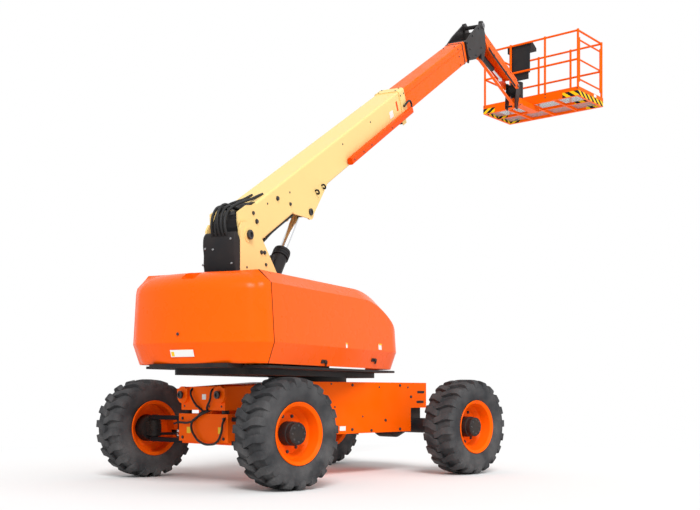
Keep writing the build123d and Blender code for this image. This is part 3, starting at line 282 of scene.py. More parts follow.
def newMaterial(name, key):
    # a principled shader fed by the finish group, and the nodes that a pattern joins
    settings = finishes[key]
    material = bpy.data.materials.new(name)
    material.use_nodes = True
    tree = material.node_tree
    shader = tree.nodes["Principled BSDF"]
    shader.inputs["Metallic"].default_value = settings["metal"]
    shader.inputs["Coat Weight"].default_value = settings["coat"]
    shader.inputs["Specular IOR Level"].default_value = settings["gloss"]
    shader.inputs["Coat Roughness"].default_value = 0.12
    coordinates = tree.nodes.new("ShaderNodeTexCoord")
    finish = tree.nodes.new("ShaderNodeGroup")
    finish.node_tree = finishGroup
    finish.name = "finish"
    values = {"Color": (*settings["color"], 1.0), "Dust Color": rubberDust if "ubber" in key else dustColor,
              "Scale": 5.0, "Cloud": settings["cloud"], "Dust": settings["dust"], "Dust Height": 1.3,
              "Roughness": settings["rough"], "Rough Spread": 0.12, "Bump": settings["bump"],
              "Grain": 140.0}
    for label, value in values.items():
        finish.inputs[label].default_value = value
    join(tree, coordinates.outputs["Object"], finish.inputs["Vector"])
    join(tree, finish.outputs["Color"], shader.inputs["Base Color"])
    join(tree, finish.outputs["Roughness"], shader.inputs["Roughness"])
    join(tree, finish.outputs["Normal"], shader.inputs["Normal"])
    return material, tree, shader, finish, coordinates


def turnedPlace(tree, coordinates, degrees, origin):
    # the place on the surface in a turned frame, split in X, Y and Z
    mapping = tree.nodes.new("ShaderNodeMapping")
    mapping.vector_type = "TEXTURE"
    mapping.inputs["Location"].default_value = origin
    mapping.inputs["Rotation"].default_value = (0.0, 0.0, radians(degrees))
    join(tree, coordinates.outputs["Object"], mapping.inputs["Vector"])
    split = tree.nodes.new("ShaderNodeSeparateXYZ")
    join(tree, mapping.outputs[0], split.inputs[0])
    return split


def bandOf(tree, value, low, high, soft=0.002):
    node = tree.nodes.new("ShaderNodeGroup")
    node.node_tree = bandGroup
    join(tree, value, node.inputs["Value"])
    node.inputs["Low"].default_value = low
    node.inputs["High"].default_value = high
    node.inputs["Soft"].default_value = soft
    return node.outputs[0]


materials = {key: newMaterial(key, key)[0] for key in finishes}


def buildAxleMaterial():
    # the boxed beam is orange and the arms and forks beyond it are black
    material, tree, shader, finish, coordinates = newMaterial("frontAxlePaint", "orangePaint")
    split = turnedPlace(tree, coordinates, 0.0, (0.0, 0.0, 0.0))
    beamHalf = 0.372
    beam = bandOf(tree, split.outputs["Y"], -beamHalf, beamHalf)
    black = finishes["blackPaint"]["color"]
    join(tree, mixColors(tree, beam, black, finish.outputs["Color"]), shader.inputs["Base Color"])
    return material


def buildHoodMaterial():
    # gloss orange with a thin band of painted shade along the seam at the tail
    material, tree, shader, finish, coordinates = newMaterial("hoodPaint", "orangeGloss")
    split = turnedPlace(tree, coordinates, machine["slewDegrees"], (0.0, 0.0, 0.0))
    # painted shade: the shadowed gap where the hood meets the tail, drawn as a near-black band on the hood
    seam = {"from": -1.8935, "to": -1.8825, "color": (0.02, 0.008, 0.004)}
    seamShade = bandOf(tree, split.outputs["X"], seam["from"], seam["to"])
    join(tree, mixColors(tree, seamShade, finish.outputs["Color"], seam["color"]), shader.inputs["Base Color"])
    return material


def buildFloorMaterial():
    # toe boards with barred ends, orange bearers below and an open grey sheet between them
    material, tree, shader, finish, coordinates = newMaterial("platformFloorPaint", "orangePaint")
    split = turnedPlace(tree, coordinates, machine["slewDegrees"] + machine["platformTurn"],
                        tuple(platformAt))
    across, length, height = (split.outputs[axis] for axis in ("X", "Y", "Z"))
    bars = tree.nodes.new("ShaderNodeGroup")
    bars.node_tree = stripeGroup
    join(tree, mathNode(tree, "ADD", across, mathNode(tree, "ABSOLUTE", length)), bars.inputs["Along"])
    join(tree, height, bars.inputs["Rise"])
    floor = {"pitch": 0.16, "slope": 1.4, "boardTop": 0.088, "rightFrom": -0.62, "leftFrom": 0.68,
             "past": 2.0,
             "sheet": (0.0408, 0.0452), "near": 0.426, "far": 1.324, "half": 0.909,
             "yellow": (0.9, 0.55, 0.01), "black": (0.015, 0.015, 0.016)}
    bars.inputs["Pitch"].default_value = floor["pitch"]
    bars.inputs["Slope"].default_value = floor["slope"]
    board = bandOf(tree, height, 0.002, floor["boardTop"])
    endRight = bandOf(tree, length, -floor["past"], floor["rightFrom"])
    endLeft = bandOf(tree, length, floor["leftFrom"], floor["past"])
    ends = mathNode(tree, "MULTIPLY", mathNode(tree, "MAXIMUM", endRight, endLeft), board)
    barColor = mixColors(tree, bars.outputs[0], floor["yellow"], floor["black"])
    painted = mixColors(tree, ends, finish.outputs["Color"], barColor)
    # the sheet lies inside the toe boards at the top of the bearers
    level = bandOf(tree, height, *floor["sheet"], 0.0002)
    sheet = mathNode(tree, "MULTIPLY", level, bandOf(tree, across, floor["near"], floor["far"]))
    sheet = mathNode(tree, "MULTIPLY", sheet, bandOf(tree, length, -floor["half"], floor["half"]))
    join(tree, mixColors(tree, sheet, painted, finishes["sheetGrey"]["color"]), shader.inputs["Base Color"])
    holes = tree.nodes.new("ShaderNodeGroup")
    holes.node_tree = meshGroup
    join(tree, across, holes.inputs["X"])
    join(tree, length, holes.inputs["Y"])
    covered = mathNode(tree, "MAXIMUM", holes.outputs[0], mathNode(tree, "SUBTRACT", 1.0, sheet))
    join(tree, covered, shader.inputs["Alpha"])
    return material


materials["frontAxle"] = buildAxleMaterial()
materials["hood"] = buildHoodMaterial()
materials["platformFloor"] = buildFloorMaterial()
materials["rim"] = newMaterial("rimPaint", "orangePaint")[0]
materials["tail"] = newMaterial("tailPaint", "orangeGloss")[0]

nodeFinish = {
    "chassis_frame": "orangePaint", "slew_ring": "blackPaint", "front_axle": "frontAxle",
    "drive_axle": "blackPaint",
    "steer_cylinder": "blackPaint", "axle_lock_cylinders": "blackPaint", "knuckle": "blackPaint",
    "steer_rods": "chrome",
    "rim": "rim", "hub": "blackPaint", "tyre": "rubber", "turret_deck": "blackPaint",
    "counterweight": "tail",
    "mast": "creamPaint", "mast_cover": "blackPlastic", "engine_block": "engineGrey",
    "tanks": "tankPlastic", "hood": "hood",
    "base_boom": "creamPaint", "hose_carrier": "redPaint", "mid_boom": "orangePaint",
    "fly_boom": "orangePaint",
    "boom_nose": "blackPaint", "lift_cylinder": "blackPaint", "lift_rod": "chrome",
    "jib_bracket": "blackPaint",
    "jib_arm": "orangePaint", "jib_link": "orangePaint", "jib_cylinder": "blackPaint", "jib_rod": "chrome",
    "jib_end": "blackPaint", "platform_floor": "platformFloor", "platform_rails": "orangePaint",
    "control_console": "blackPlastic", "platform_support": "orangePaint", "platform_gate": "orangePaint",
}


def finishOf(node):
    # the longest listed name that the node's own name starts with
    fitting = [key for key in nodeFinish if node.startswith(key)]
    return nodeFinish[max(fitting, key=len)]


for name, node in cadNodes.items():
    for slot in range(len(node.data.materials)):
        node.data.materials[slot] = materials[finishOf(name)]
print("CAD nodes painted")


# Meshes and what repeats


def linked(name, data):
    piece = bpy.data.objects.new(name, data)
    bpy.context.scene.collection.objects.link(piece)
    return piece


def skin(rows, count):
    # the faces between rings of points, with the first and the last ring closed
    faces = []
    for row in range(rows - 1):
        for step in range(count):
            ahead = (step + 1) % count
            faces.append((row * count + step, row * count + ahead, (row + 1) * count + ahead,
                          (row + 1) * count + step))
    return faces + [tuple(range(count)), tuple((rows - 1) * count + step for step in range(count))]


def meshObject(name, points, faces, material):
    # a closed mesh at the origin with its faces turned outwards
    mesh = bpy.data.meshes.new(name)
    mesh.from_pydata([tuple(point) for point in points], [], faces)
    work = bmesh.new()
    work.from_mesh(mesh)
    bmesh.ops.remove_doubles(work, verts=work.verts, dist=1e-6)
    bmesh.ops.recalc_face_normals(work, faces=work.faces)
    if work.calc_volume(signed=True) < 0.0:
        bmesh.ops.reverse_faces(work, faces=work.faces)
    work.to_mesh(mesh)
    work.free()
    mesh.materials.append(material)
    return linked(name, mesh)


def joined(name, pieces):
    # several meshes made one object, each keeping its material
    work = bmesh.new()
    slots = []
    for piece in pieces:
        start = len(work.faces)
        work.from_mesh(piece.data)
        work.faces.ensure_lookup_table()
        own = list(piece.data.materials)
        for material in own:
            if material not in slots:
                slots.append(material)
        for face in work.faces[start:]:
            face.material_index = slots.index(own[min(face.material_index, len(own) - 1)])
        bpy.data.objects.remove(piece)
    mesh = bpy.data.meshes.new(name)
    work.to_mesh(mesh)
    work.free()
    for material in slots:
        mesh.materials.append(material)
    return linked(name, mesh)


def smoothed(piece, degrees=35.0):
    for polygon in piece.data.polygons:
        polygon.use_smooth = True
    piece.data.set_sharp_from_angle(angle=radians(degrees))
    return piece


def turnedProfile(name, profile, centre, axis, steps, material):
    # a closed profile of (distance along the axis, radius) turned about the axis
    axis = Vector(axis).normalized()
    sideways = axis.orthogonal().normalized()
    third = axis.cross(sideways)
    points = []
    for along, radius in profile:
        for step in range(steps):
            angle = 2 * pi * step / steps
            points.append(Vector(centre) + axis * along
                          + (sideways * cos(angle) + third * sin(angle)) * radius)
    return meshObject(name, points, skin(len(profile), steps), material)


def boxPiece(name, centre, size, axes, material, bevel=0.0):
    # a block with its own axes; bevel rounds its edges off
    points = []
    for x in (-0.5, 0.5):
        for y in (-0.5, 0.5):
            for z in (-0.5, 0.5):
                points.append(Vector(centre) + axes[0] * (x * size[0]) + axes[1] * (y * size[1])
                              + axes[2] * (z * size[2]))
    faces = [(0, 1, 3, 2), (4, 6, 7, 5), (0, 4, 5, 1), (2, 3, 7, 6), (0, 2, 6, 4), (1, 5, 7, 3)]
    piece = meshObject(name, points, faces, material)
    if bevel:
        work = bmesh.new()
        work.from_mesh(piece.data)
        bmesh.ops.bevel(work, geom=work.edges[:], offset=bevel, segments=2, affect="EDGES", profile=0.5)
        bmesh.ops.recalc_face_normals(work, faces=work.faces)
        work.to_mesh(piece.data)
        work.free()
    return piece


def tubeAlong(name, route, radius, material):
    # a round tube of one radius along a smooth route, closed at both ends
    curve = bpy.data.curves.new(name, "CURVE")
    curve.dimensions = "3D"
    spline = curve.splines.new("BEZIER")
    spline.bezier_points.add(len(route) - 1)
    for knot, place in zip(spline.bezier_points, route):
        knot.co = place
        knot.handle_left_type = knot.handle_right_type = "AUTO"
    curve.resolution_u = 8
    curve.bevel_depth = radius
    curve.bevel_resolution = 2
    curve.use_fill_caps = True
    holder = linked(name + "Route", curve)
    mesh = bpy.data.meshes.new_from_object(holder.evaluated_get(bpy.context.evaluated_depsgraph_get()))
    bpy.data.objects.remove(holder)
    work = bmesh.new()
    work.from_mesh(mesh)
    bmesh.ops.remove_doubles(work, verts=work.verts, dist=1e-6)
    bmesh.ops.recalc_face_normals(work, faces=work.faces)
    work.to_mesh(mesh)
    work.free()
    mesh.materials.clear()
    mesh.materials.append(material)
    mesh.name = name
    return smoothed(linked(name, mesh), 50.0)


def treeSockets(tree, inputs):
    for label, kind, value in inputs:
        socket = tree.interface.new_socket(name=label, in_out="INPUT", socket_type="NodeSocket" + kind)
        if value is not None:
            socket.default_value = value
    tree.interface.new_socket(name="Geometry", in_out="OUTPUT", socket_type="NodeSocketGeometry")
    return tree.nodes.new("NodeGroupInput"), tree.nodes.new("NodeGroupOutput")


def finishTree(tree, entry, leave, instance):
    realize = tree.nodes.new("GeometryNodeRealizeInstances")
    join(tree, instance.outputs[0], realize.inputs[0])
    finish = tree.nodes.new("GeometryNodeSetMaterial")
    join(tree, realize.outputs[0], finish.inputs["Geometry"])
    join(tree, entry.outputs["Finish"], finish.inputs["Material"])
    join(tree, finish.outputs[0], leave.inputs["Geometry"])
    return tree


def buildRingTree():
    # copies of a shape evenly round the Y axis
    tree = bpy.data.node_groups.new("ringRepeat", "GeometryNodeTree")
    entry, leave = treeSockets(tree, [("Geometry", "Geometry", None), ("Count", "Int", 12),
                                      ("Start Angle", "Float", 0.0),
                                      ("Finish", "Material", None)])
    points = tree.nodes.new("GeometryNodePoints")
    join(tree, entry.outputs["Count"], points.inputs["Count"])
    index = tree.nodes.new("GeometryNodeInputIndex")
    share = mathNode(tree, "DIVIDE", index.outputs[0], entry.outputs["Count"])
    turn = mathNode(tree, "MULTIPLY_ADD", share, 2 * pi, entry.outputs["Start Angle"])
    rotation = tree.nodes.new("ShaderNodeCombineXYZ")
    join(tree, turn, rotation.inputs["Y"])
    instance = tree.nodes.new("GeometryNodeInstanceOnPoints")
    join(tree, points.outputs[0], instance.inputs["Points"])
    join(tree, entry.outputs["Geometry"], instance.inputs["Instance"])
    join(tree, rotation.outputs[0], instance.inputs["Rotation"])
    return finishTree(tree, entry, leave, instance)


def buildScatterTree():
    # one fastener on every point of the mesh, its Z turned to the point's own aim
    tree = bpy.data.node_groups.new("scatterHardware", "GeometryNodeTree")
    entry, leave = treeSockets(tree, [("Geometry", "Geometry", None), ("Fastener", "Object", None),
                                      ("Scale", "Float", 1.0),
                                      ("Seed", "Int", 3), ("Finish", "Material", None)])
    aim = tree.nodes.new("GeometryNodeInputNamedAttribute")
    aim.data_type = "FLOAT_VECTOR"
    aim.inputs["Name"].default_value = "aim"
    turned = tree.nodes.new("FunctionNodeAlignRotationToVector")
    turned.axis = "Z"
    join(tree, aim.outputs[0], turned.inputs["Vector"])
    spin = tree.nodes.new("FunctionNodeRandomValue")
    spin.data_type = "FLOAT"
    spin.inputs[3].default_value = pi / 3
    join(tree, entry.outputs["Seed"], spin.inputs["Seed"])
    own = tree.nodes.new("ShaderNodeCombineXYZ")
    join(tree, spin.outputs[1], own.inputs["Z"])
    wholeTurn = tree.nodes.new("FunctionNodeRotateRotation")
    wholeTurn.rotation_space = "LOCAL"
    join(tree, turned.outputs[0], wholeTurn.inputs[0])
    join(tree, own.outputs[0], wholeTurn.inputs[1])
    info = tree.nodes.new("GeometryNodeObjectInfo")
    join(tree, entry.outputs["Fastener"], info.inputs["Object"])
    instance = tree.nodes.new("GeometryNodeInstanceOnPoints")
    join(tree, entry.outputs["Geometry"], instance.inputs["Points"])
    join(tree, info.outputs["Geometry"], instance.inputs["Instance"])
    join(tree, wholeTurn.outputs[0], instance.inputs["Rotation"])
    join(tree, entry.outputs["Scale"], instance.inputs["Scale"])
    return finishTree(tree, entry, leave, instance)


ringTree = buildRingTree()
scatterTree = buildScatterTree()


def grown(piece, tree, name, values):
    # the node tree's result as a plain mesh object; the piece that it started from goes
    modifier = piece.modifiers.new(tree.name, "NODES")
    modifier.node_group = tree
    sockets = {item.name: item.identifier for item in tree.interface.items_tree if item.in_out == "INPUT"}
    for label, value in values.items():
        modifier[sockets[label]] = value
    bpy.context.view_layer.update()
    mesh = bpy.data.meshes.new_from_object(piece.evaluated_get(bpy.context.evaluated_depsgraph_get()))
    piece.modifiers.remove(modifier)
    bpy.data.objects.remove(piece)
    mesh.name = name
    return linked(name, mesh)


def fastenerShape(name, profile, sides):
    # a small head standing on its own Z, outside the scene until the scatter tree uses it
    points = []
    for height, radius in profile:
        for step in range(sides):
            angle = 2 * pi * step / sides
            points.append((radius * cos(angle), radius * sin(angle), height))
    shape = meshObject(name, points, skin(len(profile), sides), materials["darkSteel"])
    bpy.context.scene.collection.objects.unlink(shape)
    return shape


hexHead = fastenerShape("hexHead", [(-0.002, 0.5), (0.04, 0.5), (0.04, 0.40), (0.26, 0.40), (0.31, 0.34)],
                        6)
roundHead = fastenerShape("roundHead", [(-0.002, 0.5), (0.10, 0.5), (0.20, 0.42), (0.26, 0.24)], 12)
capHead = fastenerShape("capHead", [(-0.002, 0.5), (0.22, 0.5), (0.26, 0.44), (0.26, 0.27), (0.12, 0.25)],
                        16)


def hardware(name, body, rows, shape, size, finish):
    # rows hold (place, aim); size is the head's width in metres
    mesh = bpy.data.meshes.new(name + "Points")
    mesh.from_pydata([tuple(place) for place, aim in rows], [], [])
    attribute = mesh.attributes.new("aim", "FLOAT_VECTOR", "POINT")
    attribute.data.foreach_set("vector",
                               [value for place, aim in rows for value in Vector(aim).normalized()])
    holder = linked(name + "Points", mesh)
    piece = grown(holder, scatterTree, name,
                  {"Fastener": shape, "Scale": size, "Finish": materials[finish]})
    return placed(piece, body, finish)


def placed(piece, body, finish, *replaced):
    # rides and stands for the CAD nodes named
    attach(piece, body)
    if replaced:
        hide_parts(*replaced)
    return piece


# Tyres

tyre = {
    "lugs": 20, "steps": 96, "reference": 0.49, "lean": 0.006,
    # (half width, radius) from the bead to the crown
    "carcass": [(0.146, 0.262), (0.170, 0.292), (0.182, 0.335), (0.1835, 0.380), (0.179, 0.420),
                (0.164, 0.444), (0.120, 0.454),
                (0.0, 0.457)],
    # one lug: outer (y, radius), inner (y, radius), and the arc it covers
    "stations": [
        ((-0.014, 0.4895), (-0.014, 0.450), (-0.034, 0.026)),
        ((0.040, 0.4893), (0.040, 0.448), (-0.016, 0.046)),
        ((0.088, 0.4875), (0.088, 0.446), (0.008, 0.074)),
        ((0.132, 0.4835), (0.130, 0.440), (0.014, 0.084)),
        ((0.160, 0.4760), (0.150, 0.434), (0.014, 0.086)),
        ((0.176, 0.4600), (0.160, 0.425), (0.012, 0.085)),
        ((0.1845, 0.4350), (0.170, 0.412), (0.012, 0.082)),
        ((0.1846, 0.4050), (0.1795, 0.400), (0.018, 0.074)),
    ],
}


def tyreLug(mirrored):
    # a slanted bar from just over the crown round the shoulder to the sidewall, with its flanks leaning in
    sign = -1.0 if mirrored else 1.0
    points = []
    for (topY, topR), (lowY, lowR), (start, end) in tyre["stations"]:
        lean = tyre["lean"]
        for y, r, arc in ((lowY, lowR, start - lean), (topY, topR, start), (topY, topR, end),
                          (lowY, lowR, end + lean)):
            angle = arc / tyre["reference"]
            points.append((r * sin(angle), sign * y, r * cos(angle)))
    return meshObject("tyreLug", points, skin(len(tyre["stations"]), 4), materials["rubber"])


def buildTyre(node, body):
    low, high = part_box(node)
    centre = [(a + b) / 2 for a, b in zip(low, high)]
    across = tyre["carcass"] + [(-y, r) for y, r in reversed(tyre["carcass"][:-1])]
    across = across + [(-0.130, 0.268), (0.130, 0.268), across[0]]
    carcass = turnedProfile("carcass", across, (0.0, 0.0, 0.0), (0.0, 1.0, 0.0), tyre["steps"],
                            materials["rubber"])
    work = bmesh.new()
    work.from_mesh(carcass.data)
    bmesh.ops.remove_doubles(work, verts=work.verts, dist=1e-5)
    bmesh.ops.delete(work, geom=[face for face in work.faces if len(face.verts) > 4], context="FACES_ONLY")
    bmesh.ops.recalc_face_normals(work, faces=work.faces)
    work.to_mesh(carcass.data)
    work.free()
    smoothed(carcass, 40.0)
    rings = []
    pitch = 2 * pi / tyre["lugs"]
    for mirrored in (False, True):
        values = {"Count": tyre["lugs"], "Start Angle": pitch / 2 if mirrored else 0.0,
                  "Finish": materials["rubber"]}
        rings.append(grown(tyreLug(mirrored), ringTree, "lugRing", values))
    name = node.replace("tyre_", "treadedTyre_")
    piece = joined(name, [carcass] + rings)
    piece.data.transform(Matrix.Translation(centre))
    return placed(piece, body, "rubber", node)


wheelNames = ["front_left", "front_right", "rear_left", "rear_right"]
for wheel in wheelNames:
    buildTyre("tyre_" + wheel, "wheel_" + wheel)
print("tyres built")

# Wheel nuts and hub cap screws

wheelNuts = {"count": 9, "ring": 0.158, "face": 0.004, "size": 0.036, "capCount": 8, "capRing": 0.070,
             "capSize": 0.022}
for wheel in wheelNames:
    low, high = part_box("rim_" + wheel)
    centre = Vector([(a + b) / 2 for a, b in zip(low, high)])
    outward = 1.0 if wheel.endswith("left") else -1.0
    hubLow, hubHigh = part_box("hub_" + wheel)
    hubFace = hubHigh[1] if outward > 0 else hubLow[1]
    discFace = centre.y + outward * wheelNuts["face"]
    for name, shape, count, start, ring, size, face in (
            ("wheelNuts_", hexHead, wheelNuts["count"], 0.5, wheelNuts["ring"], wheelNuts["size"],
             discFace),
            ("hubCapScrews_", roundHead, wheelNuts["capCount"], 0.0, wheelNuts["capRing"],
             wheelNuts["capSize"], hubFace)):
        rows = []
        for step in range(count):
            angle = 2 * pi * (step + start) / count
            rows.append(((centre.x + ring * sin(angle), face, centre.z + ring * cos(angle)),
                         (0, outward, 0)))
        hardware(name + wheel, "wheel_" + wheel, rows, shape, size, "darkSteel")
print("wheel fasteners built")

turretX, turretY, upright = (turretTurn @ Vector(axis) for axis in ((1, 0, 0), (0, 1, 0), (0, 0, 1)))
plainAxes = (Vector((1, 0, 0)), Vector((0, 1, 0)), Vector((0, 0, 1)))
turretAxes = (turretX, turretY, upright)
boomAxes = (boomAlong, boomLeft, boomUp)
jibAxes = (jibAlong, boomLeft, jibUp)
platformAxes = tuple(platformTurn @ Vector(axis) for axis in ((1, 0, 0), (0, 1, 0), (0, 0, 1)))


def bothSides(at, half, places):
    # (place, aim) rows on both side faces of the boom, the nose or the jib
    return [(at(s, side * half, p), boomLeft * side) for side in (-1.0, 1.0) for s, p in places]


def plates(name, body, finish, rows):
    # blank plates: (centre, width, height, the way that it faces, its width's direction)
    made = []
    for centre, width, height, facing, across in rows:
        facing = Vector(facing).normalized()
        across = Vector(across).normalized()
        axes = (across, facing.cross(across), facing)
        made.append(boxPiece(name, centre, (width, height, 0.003), axes, materials[finish], bevel=0.001))
    piece = joined(name, made)
    return placed(piece, body, finish)


# Chassis trim

chassisTrim = {
    "sideY": 0.4505, "frontX": -1.3405,
    "sideBolts": [(0.200, 0.920), (0.196, 0.471), (0.480, 0.455), (0.923, 0.458), (0.695, 0.556),
                  (0.923, 0.920), (1.10, 0.80)],
    "smallBolts": [(-0.62, 0.70), (-0.50, 0.86), (-0.05, 0.70), (0.35, 0.60), (1.05, 0.90), (0.60, 0.90),
                   (-0.10, 0.93)],
    "slots": [(1.262, 0.849, 0.115), (1.252, 0.743, 0.115)],
}
bigRows, smallRows = [], []
for side in (-1.0, 1.0):
    bigRows += [((x, side * chassisTrim["sideY"], z), (0, side, 0)) for x, z in chassisTrim["sideBolts"]]
    smallRows += [((x, side * chassisTrim["sideY"], z), (0, side, 0)) for x, z in chassisTrim["smallBolts"]]
front = chassisTrim["frontX"]
bigRows += [((front - 0.0005, y, z), (-1, 0, 0)) for y in (-0.31, 0.31) for z in (0.42, 0.60)]
smallRows += [((front, y, 0.716), (-1, 0, 0)) for y in (-0.28, -0.10, 0.10, 0.28)]
hardware("chassisBolts", "chassis", bigRows, hexHead, 0.034, "darkSteel")
hardware("chassisSmallBolts", "chassis", smallRows, roundHead, 0.020, "darkSteel")
lockRows = [((-1.3855, y, 0.823), (-1, 0, 0)) for y in (-0.28, 0.28)]
hardware("lockPinHeads", "chassis", lockRows, capHead, 0.075, "darkSteel")
plates("chassisPlates", "chassis", "plateWhite",
       [((0.059, -chassisTrim["sideY"], 0.484), 0.085, 0.045, (0, -1, 0), (1, 0, 0)),
                                                  ((front, -0.02, 0.804), 0.060, 0.050, (-1, 0, 0),
                                                   (0, -1, 0))])
plates("beamPlates", "chassis", "plateYellow",
       [((front, 0.215, 0.490), 0.060, 0.060, (-1, 0, 0), (0, -1, 0)),
                                                ((front, -0.259, 0.496), 0.060, 0.060, (-1, 0, 0),
                                                 (0, -1, 0))])
# painted shade: black bars on the side plates stand for the shadowed openings of the end slots
slotShadeBars = []
for x, z, length in chassisTrim["slots"]:
    for side in (-1.0, 1.0):
        slotShadeBars.append(boxPiece("slot", (x, side * 0.4505, z), (length, 0.004, 0.026), plainAxes,
                                 materials["blackPaint"], bevel=0.0015))
placed(joined("endSlots", slotShadeBars), "chassis", "blackPaint")

# hoses over the front of the beam, held by clips
axleHoses = [
    ([(-1.31, -0.10, 0.690), (-1.352, -0.07, 0.665), (-1.372, 0.03, 0.622), (-1.375, 0.13, 0.540),
      (-1.372, 0.07, 0.425), (-1.372, -0.02, 0.378),
      (-1.372, -0.15, 0.365), (-1.372, -0.25, 0.392), (-1.372, -0.315, 0.48), (-1.360, -0.33, 0.58),
      (-1.30, -0.335, 0.640)], 0.011),
    ([(-1.30, -0.04, 0.690), (-1.352, 0.00, 0.66), (-1.366, 0.07, 0.60), (-1.362, 0.20, 0.56),
      (-1.355, 0.36, 0.56), (-1.330, 0.46, 0.545)], 0.010),
    ([(-1.335, -0.17, 0.885), (-1.368, -0.17, 0.86), (-1.372, -0.15, 0.78), (-1.362, -0.09, 0.70),
      (-1.33, -0.06, 0.672)], 0.010),
    ([(-1.335, 0.16, 0.885), (-1.366, 0.15, 0.85), (-1.368, 0.11, 0.77), (-1.358, 0.03, 0.70),
      (-1.33, 0.0, 0.672)], 0.010),
]
hosePieces = [tubeAlong("axleHose", [Vector(place) for place in route], radius, materials["hoseRubber"])
              for route, radius in axleHoses]
placed(joined("axleHoses", hosePieces), "chassis", "hoseRubber")
for side, name in ((1.0, "left"), (-1.0, "right")):
    rings = [(-0.074, 0.056), (-0.074, 0.061)]
    for step in range(6):
        z = -0.066 + step * 0.0235
        rings += [(z, 0.0625), (z + 0.012, 0.0625), (z + 0.014, 0.0565), (z + 0.0215, 0.0565)]
    rings += [(0.0765, 0.060), (0.0765, 0.054)]
    ribbed = turnedProfile("kingpinRibs_" + name, rings, (-1.245, side * 0.900, 0.49), (0, 0, 1), 32,
                           materials["blackPaint"])
    placed(smoothed(ribbed, 30.0), "knuckle_" + name, "blackPaint")
print("chassis trim built")

# Turret: tail, hoods and mast trim

turretTrim = {
    "mastBolts": [(-1.214, 2.123, 0.044), (-1.158, 2.127, 0.044), (-1.134, 2.019, 0.036),
                  (-1.461, 1.960, 0.022), (-1.468, 1.918, 0.022),
                  (-1.395, 1.915, 0.028), (-1.300, 1.700, 0.036), (-1.150, 1.500, 0.036)],
    "coverScrews": [(-1.6635, -0.145, 2.190), (-1.6640, 0.122, 2.115), (-1.6640, 0.040, 2.105),
                    (-1.6560, -0.150, 1.975), (-1.6560, 0.150, 1.975)],
    "latches": [(-0.930, 1.128), (0.118, 1.172)],
}
tailTilt = onTurret(-0.95, 0.0, -0.32)
plates("tailPlate", "turret", "plateWhite",
       [(onTurret(-2.1485, 0.022, 1.173), 0.235, 0.062, tailTilt, -turretY)])
plates("tailPlateBand", "turret", "plateYellow",
       [(onTurret(-2.1560, -0.018, 1.196), 0.150, 0.016, tailTilt, -turretY),
                                                  (onTurret(-2.1480, 0.115, 1.168), 0.030, 0.040,
                                                   tailTilt, -turretY)])
hoodFace = onTurret(0.0, -1.0, 0.06)
plates("hoodPlates", "hood_right", "plateWhite",
       [(onTurret(0.215, -0.7215, 1.308), 0.070, 0.062, hoodFace, turretX),
                                                  (onTurret(-0.545, -0.7225, 1.290), 0.030, 0.048,
                                                   hoodFace, turretX)])
plates("hoodPlatesFront", "hood_right", "plateYellow",
       [(onTurret(0.215, -0.7235, 1.332), 0.070, 0.014, hoodFace, turretX),
                                                        (onTurret(-0.545, -0.7235, 1.307), 0.030, 0.014,
                                                         hoodFace, turretX)])
hardware("tailKeyhole", "turret", [(onTurret(-2.1795, 0.045, 1.335), onTurret(-1.0, 0.0, 0.06))],
         roundHead, 0.028, "darkSteel")
for side, hood in ((-1.0, "hood_right"), (1.0, "hood_left")):
    parts = []
    outward = Vector((0.0, side * 0.95, -0.32)).normalized()
    rise = Vector((0.0, side * 0.32, 0.95)).normalized()
    axes = (turretX, turretTurn @ rise, turretTurn @ outward)
    for x, z in turretTrim["latches"]:
        middle = Vector((x, side * (0.6625 + (z - 1.088) * 0.339), z)) + outward * 0.004
        parts.append(boxPiece("latch", turretTurn @ middle, (0.095, 0.036, 0.010), axes,
                              materials["blackPlastic"], bevel=0.004))
        grip = middle + outward * 0.010 + Vector((0.018, 0.0, 0.0)) + rise * 0.004
        parts.append(boxPiece("latch", turretTurn @ grip, (0.050, 0.020, 0.014), axes,
                              materials["blackPlastic"], bevel=0.005))
        tip = middle + outward * 0.006 + Vector((0.050, 0.0, 0.0)) - rise * 0.020
        parts.append(boxPiece("latch", turretTurn @ tip, (0.020, 0.036, 0.010), axes,
                              materials["blackPlastic"], bevel=0.003))
    placed(joined("hoodLatches_" + hood[5:], parts), hood, "blackPlastic")

for size in sorted({row[2] for row in turretTrim["mastBolts"]}):
    rows = []
    for side in (-1.0, 1.0):
        rows += [(onTurret(x, side * 0.1852, z), turretY * side) for x, z,
                 width in turretTrim["mastBolts"] if width == size]
    hardware("mastBolts_%d" % round(size * 1000), "turret", rows, hexHead if size > 0.025 else roundHead,
             size, "darkSteel")
pivotRows = [(onTurret(-1.435, side * 0.1955, 2.252), turretY * side) for side in (-1.0, 1.0)]
hardware("pivotCaps", "turret", pivotRows, capHead, 0.088, "darkSteel")
baseRows = [(onTurret(-1.220, side * 0.1935, 1.250), turretY * side) for side in (-1.0, 1.0)]
hardware("liftPinCaps", "turret", baseRows, capHead, 0.080, "darkSteel")
screwRows = [(onTurret(x, y, z), -turretX) for x, y, z in turretTrim["coverScrews"]]
hardware("coverScrews", "turret", screwRows, roundHead, 0.022, "steel")

